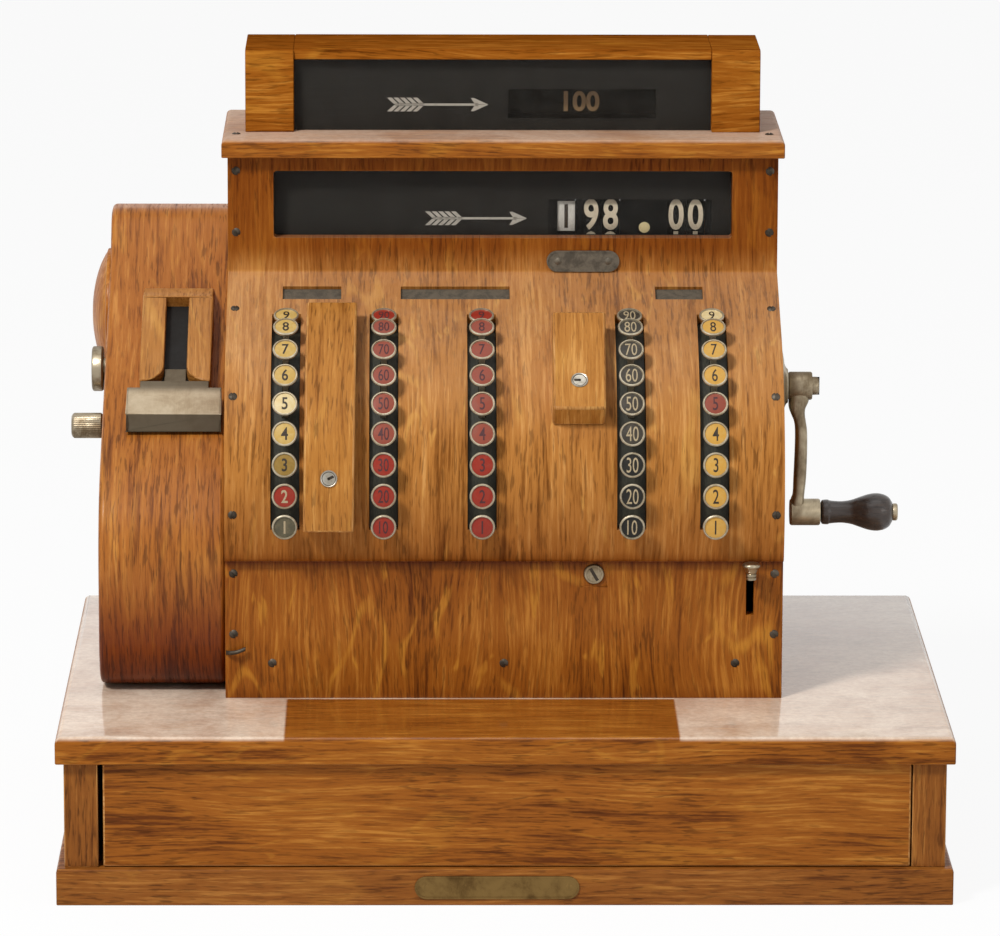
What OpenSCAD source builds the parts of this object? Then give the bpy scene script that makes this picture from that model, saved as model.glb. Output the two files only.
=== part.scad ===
// Wooden cash register with a round keyboard, a hand crank on its right side,
// a receipt printer on its left side, and a drawer in its base.
// Millimetres. X runs right, Y back and Z up, from the middle of the underside.

/* [Base] */
// Width of the base
base_w = 610; // [590:1:680]
// Depth of the base
base_d = 420; // [416:1:480]
// Thickness of the plinth board
plinth_h = 25.5; // [22:0.5:40]
// Height of the drawer's bay
bay_h = 73.5; // [68:0.5:100]
// Thickness of the slab over the drawer
slab_h = 19; // [14:0.5:28]
// How far the case's sides stand back under the slab
case_side_setback = 5.5; // [2:0.5:12]
// How far the case's front stands back under the slab
case_front_setback = 6.5; // [2:0.5:14]
// Thickness of the case's walls
case_wall = 23; // [15:0.5:28]
// Rounding of the slab's and cap's upper edges
edge_round = 5; // [2:0.5:6]

/* [Drawer] */
// Gap at each side of the drawer's front
front_gap = 2.2; // [1.5:0.1:4]
// How far the drawer sits to the right of the middle
drawer_shift = 1.2; // [0:0.1:1.4]
// Running clearance over and under the drawer
run_gap = 0.5; // [0.3:0.1:1]
// Thickness of the drawer's front
drawer_front_t = 22; // [14:0.5:28]
// Thickness of the drawer's walls
drawer_wall = 9; // [6:0.5:14]
// Thickness of the drawer's floor
drawer_floor = 8; // [4:0.5:12]
// Height of the drawer's walls
drawer_h = 60; // [56:0.5:64]
// Gap between the drawer's walls and the case
drawer_side_gap = 8; // [4:0.5:14]
// Height of the coin till
till_h = 38; // [32:0.5:44]
// Clearance round the coin till
till_gap = 1; // [0.5:0.1:3]
// Number of coin bowls, and of note pockets behind them
till_count = 4; // [3:1:4]
// Radius of the sphere that a coin bowl is cut with
bowl_r = 58; // [50:1:60]
// Depth of a coin bowl
bowl_depth = 28; // [20:0.5:28]
// Thickness of the till between its pockets
till_web = 12; // [6:0.5:16]

/* [Cabinet] */
// Width of the cabinet
cabinet_w = 385; // [380:1:400]
// Thickness of the cabinet's wood
cabinet_wall = 12; // [9:0.5:14]
// Thickness of the cabinet's two sides
side_wall = 18; // [12:0.5:22]
// How far the lower panel stands in front of the middle
panel_front = 101; // [96:0.5:104]
// Height of the lower panel
panel_h = 98; // [92:0.5:102]
// Radius of the round keyboard
round_r = 125; // [120:0.5:130]
// How far the round keyboard's centre lies behind the middle
round_y = 12; // [6:0.5:18]
// Height of the round keyboard's centre over the slab
round_up = 134.5; // [130:0.5:140]
// Slope of the shoulder over the keyboard, in degrees
shoulder_slope = 27; // [22:1:32]
// How far the head's front stands behind the middle
head_front = 18; // [14:0.5:24]
// Hollow rounding between the shoulder and the head's front
bend_r = 3; // [2:0.5:12]
// Depth of the head
head_d = 116; // [110:0.5:124]
// Height of the head's top over the slab
head_up = 360; // [352:1:372]
// How far the cabinet's back stands in from the slab's back edge
cabinet_back_setback = 20; // [12:1:24]
// Radius of the back's round shoulder
back_r = 70; // [60:1:80]
// Height where the back's shoulder meets the head, over the slab
back_shoulder_up = 262; // [250:1:272]

/* [Head] */
// Thickness of the cap on the head
cap_h = 13; // [10:0.5:18]
// How far the cap overhangs the head at the sides
cap_side = 4; // [2:0.5:8]
// How far the cap overhangs the head in front and behind
cap_front = 10; // [6:0.5:14]
// Width of the amount window
window_w = 321; // [300:1:330]
// Height of the amount window
window_h = 47.5; // [44:0.5:52]
// Height of the wood over the amount window
window_rail = 10.5; // [8:0.5:14]
// Thickness of the glass
glass_t = 2; // [1.5:0.1:3]
// Thickness of the masks behind the glass
mask_t = 1.2; // [1:0.1:2]
// Left end of the wheels' window
wheels_x0 = 32; // [26:0.5:40]
// Right end of the wheels' window
wheels_x1 = 147; // [142:0.5:152]
// Height of the wheels' window
wheels_window_h = 25; // [20:0.5:30]
// Diameter of the number wheels
wheel_d = 82; // [74:1:84]
// Width of a number wheel
wheel_w = 12.6; // [10:0.1:13]
// Diameter of the wheels' shaft
wheel_shaft_d = 8; // [6:0.5:10]
// Place of the first number wheel
first_wheel_x = 44.6; // [44:0.1:46]
// Place of the third number wheel
third_wheel_x = 75.9; // [75.2:0.1:78]
// Place of the last number wheel
last_wheel_x = 135.6; // [134:0.1:136]
// Distance between two neighbouring wheels
wheel_pitch = 13.7; // [13.6:0.1:14.2]

/* [Sign box] */
// Width of the sign box
sign_w = 361; // [350:1:370]
// Depth of the sign box
sign_d = 76; // [74:1:90]
// How far the sign box stands behind the middle of the cap
sign_shift = 4; // [0:0.5:8]
// Height of the sign box
sign_h = 58.5; // [56:0.5:64]
// Width of the sign box's cheeks
cheek_w = 34; // [26:0.5:40]
// Height of the opening between the cheeks
sign_open_h = 51; // [46:0.5:52]
// How far the bridge stands back between the cheeks
bridge_setback = 2.5; // [1:0.5:4]
// How far the sign's black panel lies behind the box's front
sign_recess = 10; // [8:0.5:12]
// Left end of the sign's window
sign_x0 = 3.7; // [0:0.1:10]
// Right end of the sign's window
sign_x1 = 107.9; // [100:0.1:112]
// Height of the sign's window
sign_window_h = 21; // [16:0.5:24]
// Height of the sign drum's axis over the cap
sign_axis_up = 18.5; // [18.5:0.5:22]
// Diameter over the corners of the six-sided sign drum
sign_drum_d = 35; // [30:1:36]

/* [Keys] */
// Place of the first column of keys
column_1_x = -150.7; // [-152:0.1:-148]
// Place of the second column of keys
column_2_x = -83; // [-86:0.1:-80]
// Place of the third column of keys
column_3_x = -15.4; // [-20:0.1:-10]
// Place of the fourth column of keys
column_4_x = 87.3; // [84:0.1:90]
// Place of the fifth column of keys
column_5_x = 144.4; // [140:0.1:146]
// Angle of the lowest key above the horizontal
key_first = -3.2; // [-3.4:0.1:-2]
// Angle from one key to the next
key_pitch = 8.95; // [8.6:0.05:9]
// Diameter of a key
key_d = 17.5; // [14:0.5:18]
// Thickness of a key's cap
key_cap_h = 2.8; // [2.6:0.1:5]
// Width of the metal rim round a key's disc
key_rim = 1.1; // [0.8:0.1:2]
// How far a key's rim stands over its disc
key_rim_h = 1; // [0.6:0.1:1.2]
// How far a key's face stands over the wood
key_proud = 14; // [12:0.5:16]
// How far the top key's face stands over the wood
top_key_proud = 8; // [6.5:0.5:10]
// Width of a key's stem
stem_w = 4; // [3:0.5:5]
// Height of a key's stem
stem_h = 7; // [5:0.5:8]
// Clearance between a stem and its hole
stem_gap = 0.4; // [0.2:0.05:0.6]
// How far a stem reaches in under the keyboard's surface
stem_depth = 24; // [20:0.5:30]
// Width of the slots in the keyboard
slot_w = 20; // [19:0.5:24]
// Angle of the slots' lower end
slot_from = -5.8; // [-8:0.1:-5.6]
// Angle of the slots' upper end
slot_to = 73; // [72.5:0.1:74]
// How deep the steel plates lie in the slots
plate_depth = 5; // [3:0.5:7]
// Thickness of the steel plates in the slots
plate_t = 2; // [1:0.5:3]
// Clearance round the steel plates
plate_gap = 0.3; // [0.1:0.05:0.5]

/* [Counter covers] */
// Middle of the long cover
long_cover_x = -120; // [-122:0.5:-118]
// Width of the long cover
long_cover_w = 35; // [30:0.5:38]
// How far the long cover stands over the wood
long_cover_proud = 16; // [12:0.5:20]
// Angle of the long cover's lower end
long_cover_from = -4.5; // [-12:0.5:0]
// Angle of the long cover's upper end
long_cover_to = 70; // [60:0.5:71]
// Angle of the long cover's lock
long_lock_angle = 10.8; // [6:0.1:20]
// Middle of the short cover
short_cover_x = 51.4; // [50:0.1:54]
// Width of the short cover
short_cover_w = 36.5; // [32:0.5:40]
// Length of the short cover
short_cover_l = 82; // [70:0.5:84]
// Angle of the short cover's middle
short_cover_angle = 46.8; // [43:0.1:48]
// How far the short cover's middle stands over the wood
short_cover_proud = 13.4; // [10:0.1:16]
// How far the short cover's lock lies below the cover's middle
short_lock_down = 17.5; // [8:0.5:24]
// Thickness of the covers' wood
cover_wall = 5; // [4:0.5:6]
// Gap between a closed cover and the wood
cover_gap = 0.3; // [0.2:0.05:0.5]
// Diameter of the covers' locks
lock_d = 11.8; // [10:0.1:14]

/* [Lower panel] */
// Place of the slotted lock
lock_screw_x = 62; // [50:0.5:80]
// Height of the slotted lock over the slab
lock_screw_up = 88.2; // [86:0.1:89]
// Diameter of the slotted lock
lock_screw_d = 14; // [10:0.5:14]
// Place of the release lever
lever_x = 169.8; // [160:0.1:172]
// Height of the lever's arm over the slab
lever_up = 90.5; // [84:0.5:91]
// Width of the lever's arm
lever_w = 4.4; // [3:0.1:6]
// Height of the lever's arm
lever_arm_h = 6; // [4:0.5:8]
// How far the lever goes down
lever_travel = 28; // [15:0.5:30]
// Diameter of the lever's flared head
lever_head_d = 12.2; // [9:0.1:13]
// How far the lever's head stands in front of the panel
lever_reach = 13.5; // [13.5:0.5:18]

/* [Printer] */
// Width of the printer's housing
printer_w = 87.5; // [84:0.5:96]
// Radius of the printer's front lobe
lobe_r = 84; // [78:0.5:88]
// How far the lobe's centre stands in front of the middle
lobe_front = 12; // [6:0.5:16]
// Height of the lobe's underside over the slab
lobe_up = 1.5; // [1:0.5:4]
// Slope of the printer's top, in degrees
printer_slope = 31; // [28:0.5:33]
// How far the printer's back stands in from the slab's back edge
printer_back_setback = 13; // [10:1:20]
// Radius of the printer's two upper corners
printer_top_r = 22; // [16:1:24]
// Radius of the printer's lower front corner
printer_nose_r = 36; // [28:1:44]
// How far the foot of the steep step lies in front of the printer's back
printer_step_d = 67; // [62:1:76]
// Height of the steep step
printer_step_h = 29.5; // [24:0.5:34]
// Slope of the steep step, in degrees
printer_step_slope = 55; // [50:1:62]
// Thickness of the printer's wood
printer_wall = 9; // [7:0.5:11]
// Middle of the receipt chute
chute_x = -229.7; // [-234:0.1:-228]
// Width of the receipt chute
chute_w = 49.5; // [44:0.5:54]
// Thickness of the receipt chute
chute_h = 14; // [10:0.5:18]
// Length of the receipt chute's front
chute_l = 98; // [90:0.5:100]
// How far up the slope the chute's foot lies
chute_from = 59.5; // [56:0.5:62]
// Width of the paper slot
paper_w = 16; // [12:0.5:18]
// Depth of the paper slot
paper_depth = 9; // [6:0.5:10]
// Length of the metal strip at the chute's foot
tray_foot_l = 9; // [6:0.5:12]
// Length of the metal tongue in the chute's channel
tray_tongue_l = 18; // [10:0.5:20]
// Width of the receipt tray
tray_w = 66; // [60:0.5:68]
// Length of the receipt tray down the slope
tray_l = 26; // [18:0.5:28]
// Height of the receipt tray's lip
tray_lip = 12.5; // [8:0.5:13]
// Thickness of the receipt tray's sheet
tray_t = 1.5; // [1:0.1:2]
// Radius of the roll cover
roll_r = 46; // [38:0.5:46]
// Width of the wood behind the roll cover
roll_margin = 1; // [1:0.5:8]
// How far the roll cover's centre lies under the foot of the steep step
roll_drop = 45; // [42:1:60]
// How far the roll cover bulges
roll_bulge = 14; // [10:0.5:18]
// Diameter of the printer's knob
knob_d = 32; // [26:0.5:36]
// How far behind the middle the printer's knob lies
knob_y = 60; // [56:0.5:64]
// Height of the printer's knob over the slab
knob_up = 200; // [196:0.5:204]
// Diameter of the setting pin
pin_d = 18; // [14:0.5:20]
// How far the setting pin stands out
pin_l = 24; // [18:0.5:24]
// How far behind the middle the setting pin lies
pin_y = 40; // [34:0.5:42]
// Height of the setting pin over the slab
pin_up = 163; // [158:0.5:166]
// Diameter of the shafts under the knob and the pin
spindle_d = 8; // [6:0.5:10]

/* [Crank] */
// How far behind the middle the crank's axis lies
crank_y = 40; // [34:0.5:46]
// Height of the crank's axis over the slab
crank_up = 192; // [186:0.5:198]
// Length of the crank's arm
crank_arm_l = 91.5; // [86:0.5:100]
// Diameter of the crank's shaft
crank_shaft_d = 12; // [10:0.5:14]
// Diameter of the crank's hub
crank_hub_d = 20; // [18:0.1:26]
// Width of the crank's arm, front to back
crank_arm_w = 15; // [12:0.5:18]
// Thickness of the flange behind the crank
flange_h = 10; // [8:0.5:12]
// Diameter of the flange behind the crank
flange_d = 52; // [44:1:60]
// Diameter of the boss that holds the handle's pin
boss_d = 19; // [16:0.5:22]
// Diameter of the handle's pin
handle_pin_d = 7; // [5:0.5:8]
// Length of the wooden handle
handle_l = 51; // [46:0.5:54]
// Greatest diameter of the wooden handle
handle_d = 26.8; // [24:0.1:30]
// Running clearance of every shaft in its hole
shaft_gap = 0.05; // [0.02:0.01:0.08]

/* [Hidden] */
$fn = 64;

oak = "peru";
light_oak = "burlywood";
steel = "silver";
dark_steel = "dimgray";
brass = "darkgoldenrod";
black = "black";

key_count = 9;
over = 1;
seat_gap = 0.3;

case_w = base_w - 2 * case_side_setback;
case_front_y = case_front_setback - base_d / 2;
case_back_y = -case_front_y;
plinth_d = base_d - 2;
deck = plinth_h + bay_h + slab_h;
round_z = deck + round_up;
panel_y = -panel_front;
panel_top = deck + panel_h;
head_top = deck + head_up;
head_back = head_front + head_d;
head_mid = head_front + head_d / 2;
window_z = head_top - window_rail - window_h;
wheels_z = window_z + wheels_window_h / 2;
sign_z = head_top + cap_h;
sign_front = head_mid - sign_d / 2 + sign_shift;
sign_mid = sign_front + sign_d / 2;
sign_open_half = sign_w / 2 - cheek_w;
sign_axis_z = sign_z + sign_axis_up;
columns = [column_1_x, column_2_x, column_3_x, column_4_x, column_5_x];
plate_r = round_r - plate_depth;
cabinet_side_x = cabinet_w / 2;
cabinet_back_y = base_d / 2 - cabinet_back_setback;

// Point in the side view on a circle round the keyboard's centre,
// at an angle above the horizontal
function on_round(angle, radius) =
    [round_y - radius * cos(angle), round_z + radius * sin(angle)];

// Height where the shoulder's slope meets the head's front
bend_z = on_round(90 - shoulder_slope, round_r)[1]
    + (head_front - on_round(90 - shoulder_slope, round_r)[0]) * tan(shoulder_slope);

// Height from there to the end of the hollow rounding of radius r on an upright face
function bend_rise(r) = r * (1 - sin(shoulder_slope)) / cos(shoulder_slope);

// Angle of key number i, counted from the bottom
function key_angle(i) = key_first + (i - 1) * key_pitch;

// Radius whose cap of height h covers a disc of diameter d
function cap_radius(d, h) = (h * h + d * d / 4) / (2 * h);

// Places a side view, drawn as Y and Z, between two values of X
module along_x(x0, x1) {
    translate([x0, 0, 0]) rotate([90, 0, 90]) linear_extrude(x1 - x0) children();
}

// Places a front view, drawn as X and Z, between two values of Y
module along_y(y0, y1) {
    translate([0, y1, 0]) rotate([90, 0, 0]) linear_extrude(y1 - y0) children();
}

// Box between two corners
module block(from, to) {
    translate(from) cube(to - from);
}

// Cylinder along X from x0 to x1
module rod_x(x0, x1, y, z, d) {
    translate([x0, y, z]) rotate([0, 90, 0]) cylinder(h = x1 - x0, d = d);
}

// Cylinder along Y from y0 to y1
module rod_y(y0, y1, x, z, d) {
    translate([x, y1, z]) rotate([90, 0, 0]) cylinder(h = y1 - y0, d = d);
}

// Upright cross-section of a board, w wide and h high, with rounded upper corners
module board_section(w, h, r) {
    translate([-w / 2, 0]) square([w, h - r]);
    translate([r - w / 2, 0]) square([w - 2 * r, h]);
    for (side = [-1, 1]) translate([side * (w / 2 - r), h - r]) circle(r);
}

// Flat board with its upper edges rounded over
module rounded_board(w, d, h, r) {
    intersection() {
        along_x(-w / 2, w / 2) board_section(d, h, r);
        along_y(-d / 2, d / 2) board_section(w, h, r);
    }
}

// Turned solid along Z with a domed top
module dome(d, h) {
    rotate_extrude() intersection() {
        translate([0, h - cap_radius(d, h)]) circle(cap_radius(d, h));
        square([d / 2, h]);
    }
}

// Puts a shape that stands on Z = 0 on the round keyboard, at an angle and a radius
module at_round(x, angle, radius) {
    translate([x, round_y, round_z]) rotate([90 - angle, 0, 0]) translate([0, 0, radius])
        children();
}

// Side view of a wedge with its point at the keyboard's centre
module round_wedge(a0, a1, reach) {
    polygon([[round_y, round_z], on_round(a0, reach), on_round((a0 + a1) / 2, reach * 1.5),
             on_round(a1, reach)]);
}

// Side view of the hollow rounding where the shoulder's slope meets an upright face
module bend_fillet(face, z, r) {
    centre = [face - r, z + bend_rise(r)];
    down = [sin(shoulder_slope), -cos(shoulder_slope)];
    difference() {
        polygon([centre, centre + (r + over) * down, [face + over, z - over],
                 [face + over, centre[1]]]);
        translate(centre) circle(r);
    }
}

// Side view of the cabinet, drawn in by a distance all round but at its foot and top
module body_outline(inset) {
    front_r = round_r - inset;
    front = on_round(90 - shoulder_slope, front_r);
    face = head_front + inset;
    rear_r = back_r - inset;
    rear_y = cabinet_back_y - back_r;
    rear_z = deck + back_shoulder_up - (back_r - (head_back - rear_y)
        * sin(shoulder_slope)) / cos(shoulder_slope);
    rear = [rear_y + rear_r * sin(shoulder_slope), rear_z + rear_r * cos(shoulder_slope)];
    tail = head_back - inset;
    back = cabinet_back_y - inset;
    translate([panel_y + inset, deck]) square([back - panel_y - inset, panel_h]);
    intersection() {
        translate([round_y, round_z]) circle(front_r);
        translate([round_y - 2 * round_r, panel_top]) square([2 * round_r, 2 * round_r]);
    }
    translate([rear_y, rear_z]) circle(rear_r);
    polygon([
        [round_y, panel_top - over], front,
        [face, front[1] + (face - front[0]) * tan(shoulder_slope)],
        [face, head_top], [tail, head_top],
        [tail, rear[1] + (rear[0] - tail) * tan(shoulder_slope)],
        rear, [back, rear_z], [back, panel_top - over]]);
    bend_fillet(face, front[1] + (face - front[0]) * tan(shoulder_slope), bend_r + inset);
}

// Side view of the wood between the cabinet's outside and its inside
module body_shell() {
    difference() {
        body_outline(0);
        body_outline(cabinet_wall);
    }
}

module plinth() {
    color(oak) rounded_board(base_w, plinth_d, plinth_h, edge_round / 2);
}

module base_case() {
    z0 = plinth_h;
    z1 = plinth_h + bay_h;
    color(oak) difference() {
        block([-case_w / 2, case_front_y, z0], [case_w / 2, case_back_y, z1]);
        block([case_wall - case_w / 2, case_front_y - over, z0 - over],
              [case_w / 2 - case_wall, case_back_y - case_wall, z1 + over]);
    }
}

module base_top() {
    color(oak) translate([0, 0, plinth_h + bay_h]) rounded_board(base_w, base_d, slab_h, edge_round);
}

// Drawer
drawer_z = plinth_h + run_gap;
drawer_half = case_w / 2 - case_wall - drawer_side_gap;
drawer_back_y = case_back_y - case_wall;

module drawer_front() {
    half = case_w / 2 - case_wall - front_gap;
    color(oak) translate([drawer_shift, 0, 0])
        block([-half, case_front_y, drawer_z],
              [half, case_front_y + drawer_front_t, plinth_h + bay_h - run_gap]);
}

module drawer_box() {
    y0 = case_front_y + drawer_front_t;
    color(light_oak) translate([drawer_shift, 0, 0]) difference() {
        block([-drawer_half, y0, drawer_z], [drawer_half, drawer_back_y, drawer_z + drawer_h]);
        block([drawer_wall - drawer_half, y0 + drawer_wall, drawer_z + drawer_floor],
              [drawer_half - drawer_wall, drawer_back_y - drawer_wall, drawer_z + drawer_h + over]);
    }
}

till_half = drawer_half - drawer_wall - till_gap;
till_y0 = case_front_y + drawer_front_t + drawer_wall + till_gap;
till_y1 = drawer_back_y - drawer_wall - till_gap;
till_z = drawer_z + drawer_floor;
till_pitch = 2 * till_half / till_count;

module coin_till() {
    bowl_mouth = 2 * sqrt(bowl_r * bowl_r - pow(bowl_r - bowl_depth, 2));
    notes_y0 = till_y0 + bowl_mouth + 2 * till_web;
    color(light_oak) translate([drawer_shift, 0, 0]) difference() {
        block([-till_half, till_y0, till_z], [till_half, till_y1, till_z + till_h]);
        for (i = [0:till_count - 1]) {
            x = (i + 0.5) * till_pitch - till_half;
            translate([x, till_y0 + till_web + bowl_mouth / 2, till_z + till_h + bowl_r - bowl_depth])
                sphere(bowl_r);
            block([x - till_pitch / 2 + till_web / 2, notes_y0, till_z + till_h - bowl_depth],
                  [x + till_pitch / 2 - till_web / 2, till_y1 - till_web, till_z + till_h + over]);
        }
    }
}

// Cabinet
crank_z = deck + crank_up;

module cabinet_sides() {
    color(oak) for (side = [-1, 1]) difference() {
        x = side < 0 ? -cabinet_side_x : cabinet_side_x - side_wall;
        along_x(x, x + side_wall) body_outline(cabinet_wall);
        if (side > 0)
            rod_x(x - over, x + side_wall + over, crank_y, crank_z, crank_shaft_d + 4);
    }
}

module cabinet_back() {
    color(oak) difference() {
        along_x(-cabinet_side_x, cabinet_side_x) intersection() {
            body_shell();
            translate([head_mid, deck]) square([cabinet_back_y, head_up]);
        }
        block([-window_w / 2, head_back - cabinet_wall - over, window_z],
              [window_w / 2, head_back + over, window_z + window_h]);
    }
}

// Windows over the columns of keys: left end, right end
shoulder_windows = [[-153.8, -112.9], [-71.5, 4.6], [106.3, 139.5]];
shoulder_window_l = 14.5;
shoulder_window_depth = 3.5;

// Places a shape that stands on Z = 0 on the shoulder, up its slope from the round front
module on_shoulder(x, up_slope) {
    at_round(x, 90 - shoulder_slope, round_r) translate([0, up_slope, 0]) children();
}

shoulder_window_up = (head_front - on_round(90 - shoulder_slope, round_r)[0])
    / cos(shoulder_slope) - 24;

module shoulder_window(window, gap, z0, z1) {
    on_shoulder(0, shoulder_window_up)
        block([window[0] + gap, gap - shoulder_window_l / 2, z0],
              [window[1] - gap, shoulder_window_l / 2 - gap, z1]);
}

module keyboard_cover() {
    color(oak) difference() {
        along_x(-cabinet_side_x, cabinet_side_x) intersection() {
            body_shell();
            translate([round_y - 2 * round_r, panel_top])
                square([2 * round_r + head_front + cabinet_wall - round_y, head_top - panel_top]);
        }
        for (x = columns)
            along_x(x - slot_w / 2, x + slot_w / 2) round_wedge(slot_from, slot_to, 1.3 * round_r);
        for (window = shoulder_windows)
            shoulder_window(window, 0, -shoulder_window_depth, over);
        block([-window_w / 2, head_front - over, window_z],
              [window_w / 2, head_front + cabinet_wall + over, window_z + window_h]);
    }
}

lock_screw_z = deck + lock_screw_up;
lever_z = deck + lever_up;
lever_slot_gap = 0.5;

module lower_panel() {
    color(oak) difference() {
        block([-cabinet_side_x, panel_y, deck], [cabinet_side_x, panel_y + cabinet_wall, panel_top]);
        rod_y(panel_y - over, panel_y + cabinet_wall + over, lock_screw_x, lock_screw_z,
              lock_screw_d + 2 * shaft_gap);
        block([lever_x - lever_w / 2 - lever_slot_gap, panel_y - over,
               lever_z - lever_arm_h / 2 - lever_travel - lever_slot_gap],
              [lever_x + lever_w / 2 + lever_slot_gap, panel_y + cabinet_wall + over,
               lever_z + lever_arm_h / 2 + lever_slot_gap]);
    }
}

module head_cap() {
    color(oak) translate([0, head_mid, head_top])
        rounded_board(cabinet_w + 2 * cap_side, head_d + 2 * cap_front, cap_h, edge_round * 0.8);
}

module sign_box() {
    color(oak) difference() {
        translate([0, sign_mid, sign_z]) along_x(-sign_w / 2, sign_w / 2)
            board_section(sign_d, sign_h, edge_round);
        block([-sign_open_half, sign_front - over, sign_z - over],
              [sign_open_half, sign_front + sign_d + over, sign_z + sign_open_h]);
        for (y = [sign_front - over, sign_front + sign_d - bridge_setback])
            block([-sign_open_half, y, sign_z],
                  [sign_open_half, y + bridge_setback + over, sign_z + sign_h + over]);
    }
}

pane_margin = 4;
pane_y = head_front + cabinet_wall;
mask_y = pane_y + glass_t;
rear_pane_y = head_back - cabinet_wall - glass_t;
sign_mask_y = sign_front + sign_recess;

// Upright sheet behind the amount window, in front or behind the head
module window_sheet(y, t) {
    block([-window_w / 2 - pane_margin, y, window_z - pane_margin],
          [window_w / 2 + pane_margin, y + t, window_z + window_h + pane_margin]);
}

// Upright sheet that fills the sign box's opening
module sign_sheet(y, t) {
    block([-sign_open_half, y, sign_z], [sign_open_half, y + t, sign_z + sign_open_h]);
}

module display_glass() {
    color("lightcyan") {
        window_sheet(pane_y, glass_t);
        window_sheet(rear_pane_y, glass_t);
        sign_sheet(sign_mask_y - glass_t, glass_t);
        sign_sheet(2 * sign_mid - sign_mask_y, glass_t);
    }
}

lug_t = 4;
lug_w = 22;
shaft_end = 2;
wheels_mid_x = (wheels_x0 + wheels_x1) / 2;
wheel_room = (wheels_x1 - wheels_x0) / 2 + 1;
sign_mid_x = (sign_x0 + sign_x1) / 2;
sign_room = (sign_x1 - sign_x0) / 2 + 2;

// Two ears that carry a shaft along X, on a sheet whose back is at y0
module shaft_ears(mid_x, room, y0, y1, z, d) {
    difference() {
        for (side = [-1, 1])
            translate([mid_x + side * (room + lug_t / 2), 0, 0])
                block([-lug_t / 2, y0, z - lug_w / 2], [lug_t / 2, y1, z + lug_w / 2]);
        rod_x(mid_x - room - lug_t - over, mid_x + room + lug_t + over,
              (y0 + y1) / 2, z, d + 2 * shaft_gap);
    }
}

module display_mask() {
    color(black) {
        difference() {
            window_sheet(mask_y, mask_t);
            block([wheels_x0, mask_y - over, window_z], [wheels_x1, mask_y + mask_t + over,
                   window_z + wheels_window_h]);
        }
        difference() {
            window_sheet(rear_pane_y - mask_t, mask_t);
            block([wheels_x0, rear_pane_y - mask_t - over, window_z],
                  [wheels_x1, rear_pane_y + over, window_z + wheels_window_h]);
        }
        shaft_ears(wheels_mid_x, wheel_room, mask_y + mask_t, rear_pane_y - mask_t, wheels_z,
                   wheel_shaft_d);
        for (y = [sign_mask_y, 2 * sign_mid - sign_mask_y - mask_t]) difference() {
            sign_sheet(y, mask_t);
            block([sign_x0, y - over, sign_axis_z - sign_window_h / 2],
                  [sign_x1, y + mask_t + over, sign_axis_z + sign_window_h / 2]);
        }
        shaft_ears(sign_mid_x, sign_room, sign_mask_y + mask_t,
                   2 * sign_mid - sign_mask_y - mask_t, sign_axis_z, wheel_shaft_d);
    }
}

wheel_places = [first_wheel_x, third_wheel_x - wheel_pitch, third_wheel_x,
                last_wheel_x - wheel_pitch, last_wheel_x];
wheel_rim = 5;
wheel_hub_d = 18;
wheel_web = 3;

// Number wheel about X with a rim, a web and a hub
module number_wheel() {
    rotate([0, 90, 0]) rotate_extrude() {
        translate([0, -wheel_w / 2]) square([wheel_hub_d / 2, wheel_w]);
        translate([0, -wheel_web / 2]) square([wheel_d / 2 - 1, wheel_web]);
        translate([wheel_d / 2 - wheel_rim, -wheel_w / 2]) square([wheel_rim, wheel_w]);
    }
}

module indicator_wheels() {
    end = wheel_room + lug_t + shaft_end;
    color("ivory") {
        rod_x(wheels_mid_x - end, wheels_mid_x + end, head_mid, wheels_z, wheel_shaft_d);
        for (x = wheel_places) translate([x, head_mid, wheels_z]) number_wheel();
    }
}

module sign_drum() {
    end = sign_room + lug_t + shaft_end;
    color("darkkhaki") {
        rod_x(sign_mid_x - end, sign_mid_x + end, sign_mid, sign_axis_z, wheel_shaft_d);
        translate([sign_mid_x - sign_room + over, sign_mid, sign_axis_z])
            rotate([0, 90, 0])
                cylinder(h = 2 * (sign_room - over), d = sign_drum_d, $fn = 6);
    }
}

// Keys
module key_plates() {
    color(dark_steel) for (x = columns) difference() {
        along_x(x - slot_w / 2 + plate_gap, x + slot_w / 2 - plate_gap) difference() {
            intersection() {
                translate([round_y, round_z]) circle(plate_r);
                round_wedge(slot_from + 0.2, slot_to - 0.2, 1.3 * round_r);
            }
            translate([round_y, round_z]) circle(plate_r - plate_t);
        }
        for (i = [1:key_count]) at_round(x, key_angle(i), plate_r - 2 * plate_t)
            translate([-stem_w / 2 - stem_gap, -stem_h / 2 - stem_gap, 0])
                cube([stem_w + 2 * stem_gap, stem_h + 2 * stem_gap, 4 * plate_t]);
    }
}

// Round key cap with a raised rim, standing on Z = 0
module key_cap() {
    r = key_d / 2;
    rotate_extrude() polygon([
        [0, 0], [r - 1, 0], [r, 1], [r, key_cap_h - 0.6], [r - 0.6, key_cap_h],
        [r - key_rim, key_cap_h], [r - key_rim - 0.3, key_cap_h - key_rim_h],
        [0, key_cap_h - key_rim_h]]);
}

// One key with its flat stem
module key(x, i) {
    proud = i == key_count ? top_key_proud : key_proud;
    reach = proud - key_cap_h + stem_depth;
    at_round(x, key_angle(i), round_r + proud - key_cap_h) {
        key_cap();
        translate([-stem_w / 2, -stem_h / 2, -reach]) cube([stem_w, stem_h, reach + over]);
    }
}

module clerk_keys() {
    color("cornsilk") for (column = [0, 1], i = [1:key_count]) key(columns[column], i);
}

module amount_key(column, i, paint) {
    color(paint) key(columns[column], i);
}

// Counter covers
cover_angle_wall = 2.1;

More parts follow.
